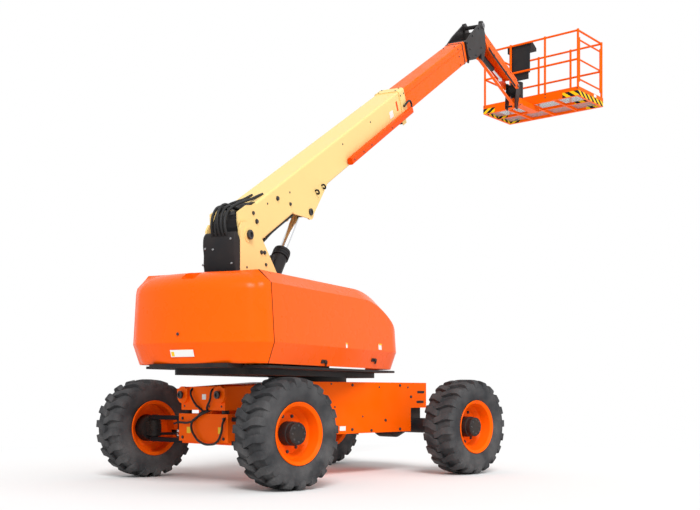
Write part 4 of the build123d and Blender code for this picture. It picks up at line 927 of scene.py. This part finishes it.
# five hoses that rise out of the cover; two of them run on over the boom's tail
hoseLoops = {"radius": 0.013, "sides": [-0.105, -0.070, -0.030, 0.010, 0.050],
             "route": [(-1.640, 2.200), (-1.668, 2.262), (-1.672, 2.330), (-1.640, 2.410),
                       (-1.560, 2.480), (-1.450, 2.535),
                       (-1.330, 2.580), (-1.210, 2.622), (-1.120, 2.662), (-1.060, 2.688)]}
loops = []
for index, y in enumerate(hoseLoops["sides"]):
    lift = 0.018 * (index % 3)
    route = []
    reach = len(hoseLoops["route"]) if index in (0, 3) else 7
    for step, (x, z) in enumerate(hoseLoops["route"][:reach]):
        bow = sin(pi * step / (reach - 1))
        sink = 0.045 * max(0, step - 4) if reach == 7 else 0.0
        route.append(onTurret(x - 0.6 * lift * bow, y * (1.0 - 0.25 * bow), z + lift * bow - sink))
    loops.append(tubeAlong("tailHose", route, hoseLoops["radius"], materials["hoseRubber"]))
tailHoses = joined("tailHoses", loops)
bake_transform(tailHoses)

# three hoses along the underside of the boom, from between the mast plates
underRoute = [(-1.262, 2.176), (-1.205, 2.185), (-1.135, 2.210), (-1.050, 2.262), (-0.960, 2.325),
              (-0.860, 2.387), (-0.740, 2.456), (-0.620, 2.523),
              (-0.520, 2.578)]
strands = []
for y, drop in ((-0.118, 0.0), (-0.086, 0.012), (0.10, 0.004)):
    strands.append(tubeAlong("underHose", [onTurret(x, y, z - drop) for x, z in underRoute], 0.013,
                             materials["hoseRubber"]))
placed(joined("underHoses", strands), "base_boom", "hoseRubber")

# black guard that closes the boom's open tail between its cheeks
guardLine = [(0.335, 0.190), (0.270, 0.196), (0.165, 0.186), (0.060, 0.178), (-0.010, 0.150),
             (-0.050, 0.100), (-0.068, 0.040), (-0.070, -0.020),
             (-0.050, -0.070)]
points, faces = [], []
for inset in (0.0, 0.006):
    for s, p in guardLine:
        shrink = 1.0 - inset / 0.15
        for y in (-0.133, 0.133):
            points.append(onBoom(s if s > 0.2 else s * shrink, y, p - inset if s > 0.2 else p * shrink))
rows = len(guardLine)
for step in range(rows - 1):
    a, b, c, d = 2 * step, 2 * step + 1, 2 * step + 3, 2 * step + 2
    e, f, g, h = (value + 2 * rows for value in (a, b, c, d))
    faces += [(a, b, c, d), (h, g, f, e), (a, d, h, e), (b, f, g, c)]
last = 2 * (rows - 1)
faces += [(0, 2 * rows, 2 * rows + 1, 1), (last, last + 1, last + 1 + 2 * rows, last + 2 * rows)]
placed(meshObject("tailGuard", points, faces, materials["blackPaint"]), "base_boom", "blackPaint")
print("turret trim built")

# Engine and tanks under the hoods

engine = {"low": Vector((-1.198, -0.588, 1.0755)), "size": Vector((0.796, 0.316, 0.598))}


def inEngine(x, y, z):
    # shares of the engine's room, from 0 to 1
    return onTurret(*(engine["low"][axis] + share * engine["size"][axis] for axis,
                      share in enumerate((x, y, z))))


engineBlocks = [
    # centre and size as shares of the room, finish
    ((0.50, 0.50, 0.10), (0.72, 0.62, 0.20), "darkSteel"),
    ((0.52, 0.50, 0.42), (0.66, 0.70, 0.46), "engineGrey"),
    ((0.52, 0.50, 0.70), (0.60, 0.52, 0.12), "engineGrey"),
    ((0.52, 0.46, 0.80), (0.54, 0.36, 0.10), "blackPaint"),
    ((0.10, 0.50, 0.48), (0.10, 0.92, 0.90), "blackPaint"),
    ((0.80, 0.86, 0.58), (0.30, 0.24, 0.22), "steel"),
    ((0.30, 0.10, 0.45), (0.22, 0.18, 0.26), "darkSteel"),
    ((0.64, 0.10, 0.62), (0.34, 0.14, 0.10), "steel"),
]
engineParts = []
for centre, size, finish in engineBlocks:
    extent = [size[axis] * engine["size"][axis] for axis in range(3)]
    engineParts.append(boxPiece("engineBlock", inEngine(*centre), extent, turretAxes, materials[finish],
                                bevel=0.014))
for x, y, z, radius, length, finish in ((0.20, 0.50, 0.34, 0.085, 0.03, "darkSteel"),
                                        (0.20, 0.30, 0.66, 0.050, 0.03, "darkSteel"),
                                        (0.20, 0.72, 0.66, 0.042, 0.03, "darkSteel")):
    wheel = [(-length, radius), (-length * 0.5, radius), (-length * 0.4, radius * 0.86),
             (length * 0.4, radius * 0.86), (length * 0.5, radius),
             (length, radius)]
    engineParts.append(turnedProfile("pulley", wheel, inEngine(x, y, z), turretX, 24, materials[finish]))
canister = [(-0.17, 0.0), (-0.17, 0.060), (-0.15, 0.072), (0.10, 0.072), (0.105, 0.078), (0.125, 0.078),
            (0.13, 0.070), (0.155, 0.056), (0.155, 0.0)]
engineParts.append(smoothed(turnedProfile("airFilter", canister[1:-1], inEngine(0.62, 0.30, 0.862),
                                          turretX, 28, materials["blackPlastic"])))
silencer = [(-0.19, 0.030), (-0.17, 0.052), (0.15, 0.052), (0.17, 0.030)]
engineParts.append(smoothed(turnedProfile("silencer", silencer, inEngine(0.55, 0.80, 0.890), turretX, 24,
                                          materials["steel"])))
oilFilter = [(-0.05, 0.036), (-0.045, 0.040), (0.045, 0.040), (0.055, 0.030)]
for x in (0.44, 0.56):
    engineParts.append(smoothed(turnedProfile("oilFilter", oilFilter, inEngine(x, 0.12, 0.30), upright,
                                              20, materials["plateWhite"])))
fan = [inEngine(0.17, 0.5 + 0.38 * cos(2 * pi * step / 12), 0.5 + 0.34 * sin(2 * pi * step / 12))
       for step in range(13)]
engineParts.append(tubeAlong("fanRing", fan, 0.010, materials["blackPlastic"]))
for route, radius, finish in (([(0.12, 0.30, 0.86), (0.22, 0.30, 0.92), (0.32, 0.30, 0.90),
                                (0.42, 0.30, 0.862)], 0.026, "hoseRubber"),
                              ([(0.12, 0.70, 0.16), (0.26, 0.84, 0.16), (0.40, 0.88, 0.26),
                                (0.50, 0.86, 0.34)], 0.020, "hoseRubber"),
                              ([(0.78, 0.10, 0.40), (0.90, 0.08, 0.30), (0.95, 0.20, 0.14),
                                (0.97, 0.45, 0.10)], 0.012, "hoseRubber"),
                              ([(0.80, 0.80, 0.68), (0.88, 0.82, 0.78), (0.84, 0.80, 0.88),
                                (0.76, 0.80, 0.890)], 0.022, "steel")):
    engineParts.append(tubeAlong("enginePipe", [inEngine(*place) for place in route], radius,
                                 materials[finish]))
placed(joined("dieselEngine", engineParts), "turret", "engineGrey", "engine_block")

tankParts = []
for x, length, height in ((-1.25, 0.800, 0.560), (-0.25, 0.900, 0.480)):
    centre = onTurret(x, 0.430, 1.0755 + height / 2)
    tankParts.append(smoothed(boxPiece("tank", centre, (length - 0.004, 0.326, height - 0.035),
                                       turretAxes, materials["tankPlastic"], bevel=0.035), 50.0))
    top = 1.0755 + height - 0.020
    neck = [(-0.004, 0.040), (0.004, 0.040), (0.006, 0.034), (0.018, 0.034), (0.019, 0.028)]
    tankParts.append(turnedProfile("cap", neck, onTurret(x - length * 0.28, 0.43, top), upright, 24,
                                   materials["blackPlastic"]))
    for share in (-0.26, 0.12, 0.36):
        band = boxPiece("strap", onTurret(x + share * length, 0.430, 1.0755 + height / 2),
                        (0.040, 0.3275, height - 0.032), turretAxes,
                        materials["steel"], bevel=0.036)
        tankParts.append(band)
placed(joined("strappedTanks", tankParts), "turret", "tankPlastic", "tanks")
print("engine and tanks built")

# Boom, nose and jib trim

boomTrim = {
    "halfWidth": 0.1502, "cheekBolts": [(0.228, 0.121, 0.040), (0.245, 0.033, 0.050),
                                        (0.706, 0.083, 0.050), (0.912, -0.051, 0.040)],
    "smallBolts": [(0.510, 0.105), (0.960, 0.050), (2.30, 0.10), (3.10, 0.10)], "collarHalf": 0.1622,
    "collarBolts": (4.065, 4.175), "midHalf": 0.1242, "lugPin": (1.26, -0.265), "nosePin": (7.62, 0.184),
    "jibHalf": 0.1002,
    "noseBolts": [(6.83, 0.115), (6.83, -0.085), (6.90, 0.02), (7.10, 0.155), (7.12, -0.12), (7.42, 0.19),
                  (7.40, -0.08)],
    "jibBolts": [(0.16, 0.035), (0.40, 0.045), (1.40, 0.045), (1.64, 0.035)],
}
for size in (0.040, 0.050):
    rows = bothSides(onBoom, boomTrim["halfWidth"],
                     [(s, p) for s, p, width in boomTrim["cheekBolts"] if width == size])
    hardware("boomBolts_%d" % round(size * 1000), "base_boom", rows, hexHead, size, "darkSteel")
rows = bothSides(onBoom, boomTrim["halfWidth"], boomTrim["smallBolts"])
rows += bothSides(onBoom, boomTrim["collarHalf"],
                  [(s, p) for s in boomTrim["collarBolts"] for p in (-0.10, 0.13)])
rows += [(onBoom(s, y, 0.1972), boomUp) for y in (-0.11, 0.11) for s in boomTrim["collarBolts"]]
rows += [(onBoom(s, -0.2223, -0.095), -boomLeft) for s in (2.36, 2.62, 2.86, 3.50)]
hardware("boomSmallBolts", "base_boom", rows, roundHead, 0.020, "darkSteel")
hardware("lugPinCaps", "base_boom", bothSides(onBoom, 0.1500, [boomTrim["lugPin"]]), capHead, 0.070,
         "darkSteel")
plates("boomPlate", "base_boom", "plateWhite",
       [(onBoom(3.72, -0.1515, 0.005), 0.110, 0.080, -boomLeft, boomAlong)])
plates("boomMarks", "base_boom", "redPaint",
       [(onBoom(3.93, -0.1515, 0.045), 0.040, 0.110, -boomLeft, boomAlong)])

# hooks and the roller at the mouth, and the hose's end loop in the carrier
mouth = [boxPiece("rollerArm", onBoom(4.14, side * 0.115, -0.196), (0.110, 0.012, 0.070), boomAxes,
                  materials["creamPaint"], bevel=0.004)
         for side in (-1.0, 1.0)]
roller = [(-0.105, 0.022), (-0.100, 0.030), (0.100, 0.030), (0.105, 0.022)]
mouth.append(turnedProfile("roller", roller, onBoom(4.165, 0.0, -0.205), boomLeft, 24,
                           materials["blackPlastic"]))
placed(joined("mouthRoller", mouth), "base_boom", "blackPlastic")
loopRoute = [onBoom(s, y, p) for s, y, p in ((4.180, -0.192, -0.082), (4.240, -0.192, -0.078),
                                             (4.285, -0.190, -0.045), (4.275, -0.188, 0.000),
                                            (4.225, -0.186, 0.020), (4.150, -0.182, 0.010),
                                            (4.080, -0.176, -0.002))]
placed(tubeAlong("carrierLoop", loopRoute, 0.013, materials["hoseRubber"]), "base_boom", "hoseRubber")
hooks = []
for s in (1.46, 1.62):
    route = [onBoom(s, -0.150, -0.115), onBoom(s + 0.005, -0.176, -0.112),
             onBoom(s + 0.012, -0.184, -0.136), onBoom(s + 0.020, -0.168, -0.158),
             onBoom(s + 0.022, -0.150, -0.150)]
    hooks.append(tubeAlong("hook", route, 0.009, materials["blackPaint"]))
placed(joined("hoseHooks", hooks), "base_boom", "blackPaint")

rows = bothSides(onBoom, boomTrim["midHalf"], [(s, p) for s in (6.46, 6.66) for p in (-0.09, 0.02, 0.12)])
rows += [(onBoom(s, y, 0.1594), boomUp) for s in (6.46, 6.66) for y in (-0.08, 0.08)]
hardware("midBoomBolts", "mid_boom", rows, hexHead, 0.026, "darkSteel")
bandBars = []
for y, p, width, height in ((0.0, 0.1600, 0.236, 0.005), (0.0, -0.1300, 0.236, 0.005),
                            (-0.1250, 0.015, 0.005, 0.280), (0.1250, 0.015, 0.005, 0.280)):
    bandBars.append(boxPiece("endBand", onBoom(6.66, y, p), (0.030, width, height), boomAxes,
                             materials["blackPaint"], bevel=0.0015))
placed(joined("midBoomBand", bandBars), "mid_boom", "blackPaint")

rows = bothSides(onBoom, boomTrim["halfWidth"], boomTrim["noseBolts"])
hardware("noseBolts", "fly_boom", rows, hexHead, 0.030, "darkSteel")
hardware("nosePinCaps", "fly_boom", bothSides(onBoom, 0.1500, [boomTrim["nosePin"]]), capHead, 0.085,
         "steel")
rows = bothSides(onJib, boomTrim["jibHalf"], boomTrim["jibBolts"])
hardware("jibBolts", "jib_arm", rows, roundHead, 0.022, "darkSteel")
hardware("jibEndCaps", "jib_end", [(jibTip + boomLeft * side * 0.1062, boomLeft * side)
                                   for side in (-1.0, 1.0)], capHead, 0.052, "steel")

# two hoses along the lower edge of the jib's near side, in clips
jibHoses = []
for y, p in ((-0.110, -0.066), (-0.110, -0.086)):
    route = [onJib(0.30, y + 0.006, p + 0.02), onJib(0.42, y, p), onJib(0.80, y, p - 0.003),
             onJib(1.30, y, p), onJib(1.66, y + 0.006, p + 0.01)]
    jibHoses.append(tubeAlong("jibHose", route, 0.0085, materials["hoseRubber"]))
for s in (0.55, 1.15):
    jibHoses.append(boxPiece("hoseClip", onJib(s, -0.1095, -0.074), (0.026, 0.022, 0.052), jibAxes,
                             materials["blackPaint"], bevel=0.004))
placed(joined("jibHoses", jibHoses), "jib_arm", "hoseRubber")
print("boom and jib trim built")

# Rounded tail casting in place of the plain one

tail = {
    "rearX": -2.176, "rearRadius": 1.35, "cornerRadius": 0.28, "seamX": -1.894, "halfWidth": 0.722,
    "pocket": (0.20, 0.15, 0.15),
    # height above the ground, how far the outline draws in at the rear, and the same at the seam
    "levels": [(1.0885, 0.096, 0.061), (1.0885, 0.074, 0.0602), (1.096, 0.062, 0.0575),
               (1.115, 0.052, 0.0510), (1.252, 0.0060, 0.0045),
               (1.259, 0.0015, 0.0020), (1.267, 0.0, 0.0003), (1.276, 0.0018, 0.0008),
               (1.300, 0.004, 0.0022), (1.500, 0.0155, 0.0147),
               (1.700, 0.0265, 0.0271), (1.738, 0.034, 0.0296), (1.764, 0.047, 0.0322),
               (1.790, 0.066, 0.0622), (1.815, 0.092, 0.0910),
               (1.838, 0.124, 0.1175), (1.856, 0.160, 0.1382), (1.868, 0.200, 0.1520),
               (1.8745, 0.245, 0.1600)],
}


def tailOutline(inset, seamInset):
    # half of the plan, from the seam round the corner to the middle of the rear, then mirrored
    half = tail["halfWidth"] - inset
    rear = tail["rearX"] + inset
    radius = tail["rearRadius"]
    corner = max(0.05, tail["cornerRadius"] - 0.4 * inset)
    centreX = rear + radius - ((radius - corner) ** 2 - (half - corner) ** 2) ** 0.5
    centreY = half - corner
    ending = pi - abs(Vector((centreX - rear - radius, centreY)).angle_signed(Vector((-1.0, 0.0))))
    starting = pi / 2
    if centreX > tail["seamX"] - 0.004:
        starting = pi / 2 + asin(min(1.0, (centreX - tail["seamX"] + 0.004) / corner))
    seamY = tail["halfWidth"] - seamInset
    outline = [(tail["seamX"], seamY)]
    for step in range(13):
        angle = starting + (ending - starting) * step / 12
        y = centreY + corner * sin(angle)
        outline.append((centreX + corner * cos(angle), y + (seamY - y) * max(0.0, 1.0 - (step + 1) / 6)))
    endY = outline[-1][1]
    for step in range(1, 8):
        y = endY * (1.0 - step / 8)
        outline.append((rear + radius - (radius ** 2 - y ** 2) ** 0.5, y))
    outline.append((rear, 0.0))
    return outline + [(x, -y) for x, y in reversed(outline[:-1])]


points = []
for z, inset, seamInset in tail["levels"]:
    points += [onTurret(x, y, z) for x, y in tailOutline(inset, seamInset)]
faces = skin(len(tail["levels"]), len(tailOutline(0.0, 0.0)))
casting = meshObject("tailCasting", points, faces, materials["tail"])
cutter = boxPiece("pocketCutter", onTurret(tail["rearX"] + 0.16, 0.0, 1.875), tail["pocket"], turretAxes,
                  materials["tail"], bevel=0.02)
cut = casting.modifiers.new("pocket", "BOOLEAN")
cut.operation = "DIFFERENCE"
cut.solver = "EXACT"
cut.object = cutter
bpy.context.view_layer.update()
castingMesh = bpy.data.meshes.new_from_object(casting.evaluated_get(bpy.context.evaluated_depsgraph_get()))
casting.modifiers.remove(cut)
casting.data = castingMesh
bpy.data.objects.remove(cutter)
placed(smoothed(casting, 32.0), "turret", "orangeGloss", "counterweight")
print("tail casting built")

# Mast cover with rolled edges in place of the plain one

cover = {
    "low": -0.184, "high": 0.150, "plateHalf": 0.228,
    "line": [(-1.5705, 1.842), (-1.612, 1.842), (-1.640, 1.905), (-1.655, 1.955), (-1.661, 2.060),
             (-1.6645, 2.150), (-1.660, 2.205), (-1.650, 2.240),
             (-1.634, 2.256), (-1.618, 2.258), (-1.604, 2.250), (-1.5705, 2.192)],
}
points = []
slices = [(cover["low"], 0.010), (cover["low"] + 0.004, 0.003), (cover["low"] + 0.012, 0.0),
          (cover["high"] - 0.024, 0.0), (cover["high"] - 0.009, 0.006),
          (cover["high"], 0.018)]
middle = Vector((-1.612, 2.05))
for y, inset in slices:
    for x, z in cover["line"]:
        away = (Vector((x, z)) - middle)
        pulled = middle + away * (1.0 - inset / max(away.length, 0.05)) if x < -1.58 else Vector((x, z))
        points.append(onTurret(pulled.x, y, pulled.y))
faces = skin(len(slices), len(cover["line"]))
shroud = smoothed(meshObject("shroud", points, faces, materials["blackPlastic"]), 40.0)
channelPlate = boxPiece("channelPlate", onTurret(-1.728, 0.0, 1.869),
                        (0.312, 2 * cover["plateHalf"], 0.011), turretAxes, materials["blackPlastic"],
                        bevel=0.003)
slotRim = turnedProfile("slotRim", [(-0.006, 0.020), (-0.006, 0.030), (0.006, 0.030), (0.006, 0.020)],
                        onTurret(-1.640, -0.03, 2.225), turretX, 20,
                        materials["blackPaint"])
placed(joined("mastShroud", [shroud, channelPlate, slotRim]), "turret", "blackPlastic", "mast_cover")

# Control console with a lid, knobs and a lower panel

console = {"x": 0.4626, "y": 0.2196, "top": 1.092}
consoleParts = []


def consoleBlock(x, y, z, size, finish, bevel):
    centre = onPlatform(console["x"] + x, console["y"] + y, console["top"] + z)
    consoleParts.append(boxPiece("consoleBlock", centre, size, platformAxes, materials[finish], bevel))


consoleBlock(0.015, 0.0, -0.300, (0.026, 0.396, 0.435), "blackPlastic", 0.006)
consoleBlock(0.060, 0.0, -0.195, (0.086, 0.316, 0.136), "blackPlastic", 0.010)
consoleBlock(0.012, -0.010, -0.560, (0.012, 0.330, 0.130), "blackPaint", 0.003)
lidPoints = []
lidLine = [(0.001, -0.126), (0.001, -0.014), (0.012, -0.002), (0.068, -0.002), (0.182, -0.070),
           (0.189, -0.082), (0.189, -0.126)]
for y in (-0.228, 0.228):
    lidPoints += [onPlatform(console["x"] + x, console["y"] + y, console["top"] + z) for x, z in lidLine]
consoleParts.append(meshObject("lid", lidPoints, skin(2, len(lidLine)), materials["blackPlastic"]))
slopeFacing = Vector((68.0, 0.0, 114.0)).normalized()
slopeDown = Vector((114.0, 0.0, -68.0)).normalized()
slopeAxes = (platformTurn @ slopeDown, platformAxes[1], platformTurn @ slopeFacing)
for y, wide, finish in ((-0.165, 0.070, "plateWhite"), (0.0, 0.120, "steel"), (0.165, 0.070, "plateWhite")):
    centre = onPlatform(console["x"] + 0.125, console["y"] + y, console["top"] - 0.0355)
    consoleParts.append(boxPiece("consolePlate", centre, (0.070, wide, 0.004), slopeAxes,
                                 materials[finish], 0.001))
for y, x in ((-0.11, 0.100), (-0.075, 0.145), (0.075, 0.145), (0.11, 0.100), (-0.030, 0.150),
             (0.030, 0.150)):
    foot = onPlatform(console["x"] + x, console["y"] + y, console["top"] - 0.002 - (x - 0.068) * 0.596)
    knob = [(-0.004, 0.012), (0.004, 0.012), (0.006, 0.006), (0.012, 0.006), (0.014, 0.004)]
    consoleParts.append(turnedProfile("knob", knob, foot, platformTurn @ slopeFacing, 14,
                                      materials["redPaint" if abs(y) > 0.1 else "darkSteel"]))
placed(joined("platformConsole", consoleParts), "platform", "blackPlastic", "control_console")

# clamps of the rails on the toe boards, and the plate on the short end
rails = {"near": 0.4434, "far": 1.3066, "side": 0.8917}
rows = []
for x, outward in ((rails["near"] - 0.0236, -1), (rails["far"] + 0.0180, 1)):
    for y in (-rails["side"], -rails["side"] * 0.34, rails["side"] * 0.38, rails["side"]):
        for z in (0.070, 0.125):
            rows.append((onPlatform(x, y, z), platformAxes[0] * outward))
hardware("toeBoardBolts", "platform", rows, roundHead, 0.022, "darkSteel")
plates("platformPlate", "platform", "plateWhite",
       [(onPlatform(1.02, -0.9158, 0.118), 0.085, 0.048, -platformAxes[1], platformAxes[0])])
supportRows = [(onPlatform(x, y, -0.0905), -platformAxes[2]) for x,
               y in ((-0.07, 0.0), (0.07, 0.0), (0.0, -0.07), (0.0, 0.07))]
hardware("rotatorBolts", "platform", supportRows, hexHead, 0.024, "darkSteel")

# rings and valve of the lift cylinder
liftFoot = Vector(joints["lift_cylinder_turn"]["pos_m"])
liftAlong = Vector(joints["lift_rod_slide"]["axis"])
liftUp = liftAlong.cross(boomLeft)
gland = []
for start in (1.122, 1.150, 1.178):
    gland.append(turnedProfile("glandRing", [(0.0, 0.080), (0.0, 0.0865), (0.014, 0.0865),
                                             (0.014, 0.080)], liftFoot + liftAlong * start, liftAlong, 40,
                               materials["blackPaint"]))
for radius, start, length, away in ((0.030, 0.74, 0.30, 0.108), (0.014, 0.20, 0.56, 0.098)):
    pipe = [(start, radius * 0.8), (start + 0.01, radius), (start + length - 0.01, radius),
            (start + length, radius * 0.8)]
    gland.append(smoothed(turnedProfile("valve", pipe, liftFoot + liftUp * away, liftAlong, 20,
                                        materials["blackPaint"])))
for start in (0.78, 0.98):
    gland.append(boxPiece("valveFoot", liftFoot + liftAlong * start + liftUp * 0.088,
                          (0.034, 0.036, 0.036), (liftAlong, boomLeft, liftUp),
                          materials["blackPaint"], 0.004))
placed(joined("liftCylinderValve", gland), "lift_cylinder", "blackPaint")
eyeAt = onBoom(boomTrim["lugPin"][0], 0.0, boomTrim["lugPin"][1])
rodEye = turnedProfile("liftRodEye", [(-0.104, 0.040), (-0.102, 0.0446), (0.102, 0.0446), (0.104, 0.040)],
                       eyeAt, boomLeft, 32, materials["blackPaint"])
placed(smoothed(rodEye), "lift_rod", "blackPaint")
print("tail, cover, console and cylinder pieces built")

# Camera, light and ground
view = {"place": (-7.19, -7.625, 0.844), "yaw": 44.29, "lens": 52.45, "shift": 0.1965}
cameraData = bpy.data.cameras.new("viewCamera")
cameraData.lens = view["lens"]
cameraData.sensor_width = 36.0
cameraData.shift_y = view["shift"]
camera = bpy.data.objects.new("viewCamera", cameraData)
camera.location = view["place"]
camera.rotation_euler = (pi / 2, 0.0, radians(view["yaw"] - 90.0))
bpy.context.scene.collection.objects.link(camera)
bpy.context.scene.camera = camera

light = {"world": 0.62, "sun": 2.4, "sunDegrees": (50.0, 0.0, -38.0), "spread": 22.0, "fill": 0.6,
         "fillDegrees": (62.0, 0.0, 20.0)}
for name, power, degrees, spread in (("keySun", light["sun"], light["sunDegrees"], light["spread"]),
                                     ("fillSun", light["fill"], light["fillDegrees"], 60.0)):
    sun = bpy.data.lights.new(name, "SUN")
    sun.energy = power
    sun.angle = radians(spread)
    lamp = bpy.data.objects.new(name, sun)
    lamp.rotation_euler = [radians(value) for value in degrees]
    bpy.context.scene.collection.objects.link(lamp)

world = bpy.data.worlds.new("studio")
bpy.context.scene.world = world
world.use_nodes = True
worldTree = world.node_tree
background = worldTree.nodes["Background"]
path = worldTree.nodes.new("ShaderNodeLightPath")
seen = mathNode(worldTree, "MAXIMUM", path.outputs["Is Camera Ray"], path.outputs["Is Transmission Ray"])
seen = mathNode(worldTree, "MAXIMUM", seen, path.outputs["Is Glossy Ray"])
strength = mathNode(worldTree, "MULTIPLY_ADD", seen, 1.0 - light["world"], light["world"])
background.inputs["Color"].default_value = (1.0, 1.0, 1.0, 1.0)
join(worldTree, strength, background.inputs["Strength"])


def buildGround():
    # pale floor that takes the shadow near the machine and fades to the white background further out
    ground = {"half": 120.0, "clearFrom": 3.2, "clearTo": 6.5, "centre": (0.3, 0.0, 0.0)}
    mesh = bpy.data.meshes.new("studioFloor")
    half = ground["half"]
    mesh.from_pydata([(-half, -half, 0), (half, -half, 0), (half, half, 0), (-half, half, 0)], [],
                     [(0, 1, 2, 3)])
    floor = bpy.data.objects.new("studioFloor", mesh)
    bpy.context.scene.collection.objects.link(floor)
    material = bpy.data.materials.new("paleFloor")
    material.use_nodes = True
    tree = material.node_tree
    shader = tree.nodes["Principled BSDF"]
    shader.inputs["Base Color"].default_value = (0.86, 0.86, 0.86, 1.0)
    shader.inputs["Roughness"].default_value = 0.9
    shader.inputs["Specular IOR Level"].default_value = 0.2
    glow = tree.nodes.new("ShaderNodeEmission")
    glow.inputs["Color"].default_value = (1.0, 1.0, 1.0, 1.0)
    coordinates = tree.nodes.new("ShaderNodeTexCoord")
    mapping = tree.nodes.new("ShaderNodeMapping")
    mapping.vector_type = "TEXTURE"
    mapping.inputs["Location"].default_value = ground["centre"]
    join(tree, coordinates.outputs["Object"], mapping.inputs["Vector"])
    length = tree.nodes.new("ShaderNodeVectorMath")
    length.operation = "LENGTH"
    join(tree, mapping.outputs[0], length.inputs[0])
    away = mapRange(tree, length.outputs["Value"], ground["clearFrom"], ground["clearTo"])
    rays = tree.nodes.new("ShaderNodeLightPath")
    seen = mathNode(tree, "MAXIMUM", rays.outputs["Is Camera Ray"], rays.outputs["Is Transmission Ray"])
    seen = mathNode(tree, "MAXIMUM", seen, rays.outputs["Is Glossy Ray"])
    mix = tree.nodes.new("ShaderNodeMixShader")
    join(tree, mathNode(tree, "MULTIPLY", away, seen), mix.inputs[0])
    join(tree, shader.outputs[0], mix.inputs[1])
    join(tree, glow.outputs[0], mix.inputs[2])
    join(tree, mix.outputs[0], tree.nodes["Material Output"].inputs["Surface"])
    mesh.materials.append(material)


buildGround()
for shape in (hexHead, roundHead, capHead):
    bpy.data.objects.remove(shape)
bpy.context.scene.view_settings.view_transform = "Standard"

bpy.context.view_layer.update()
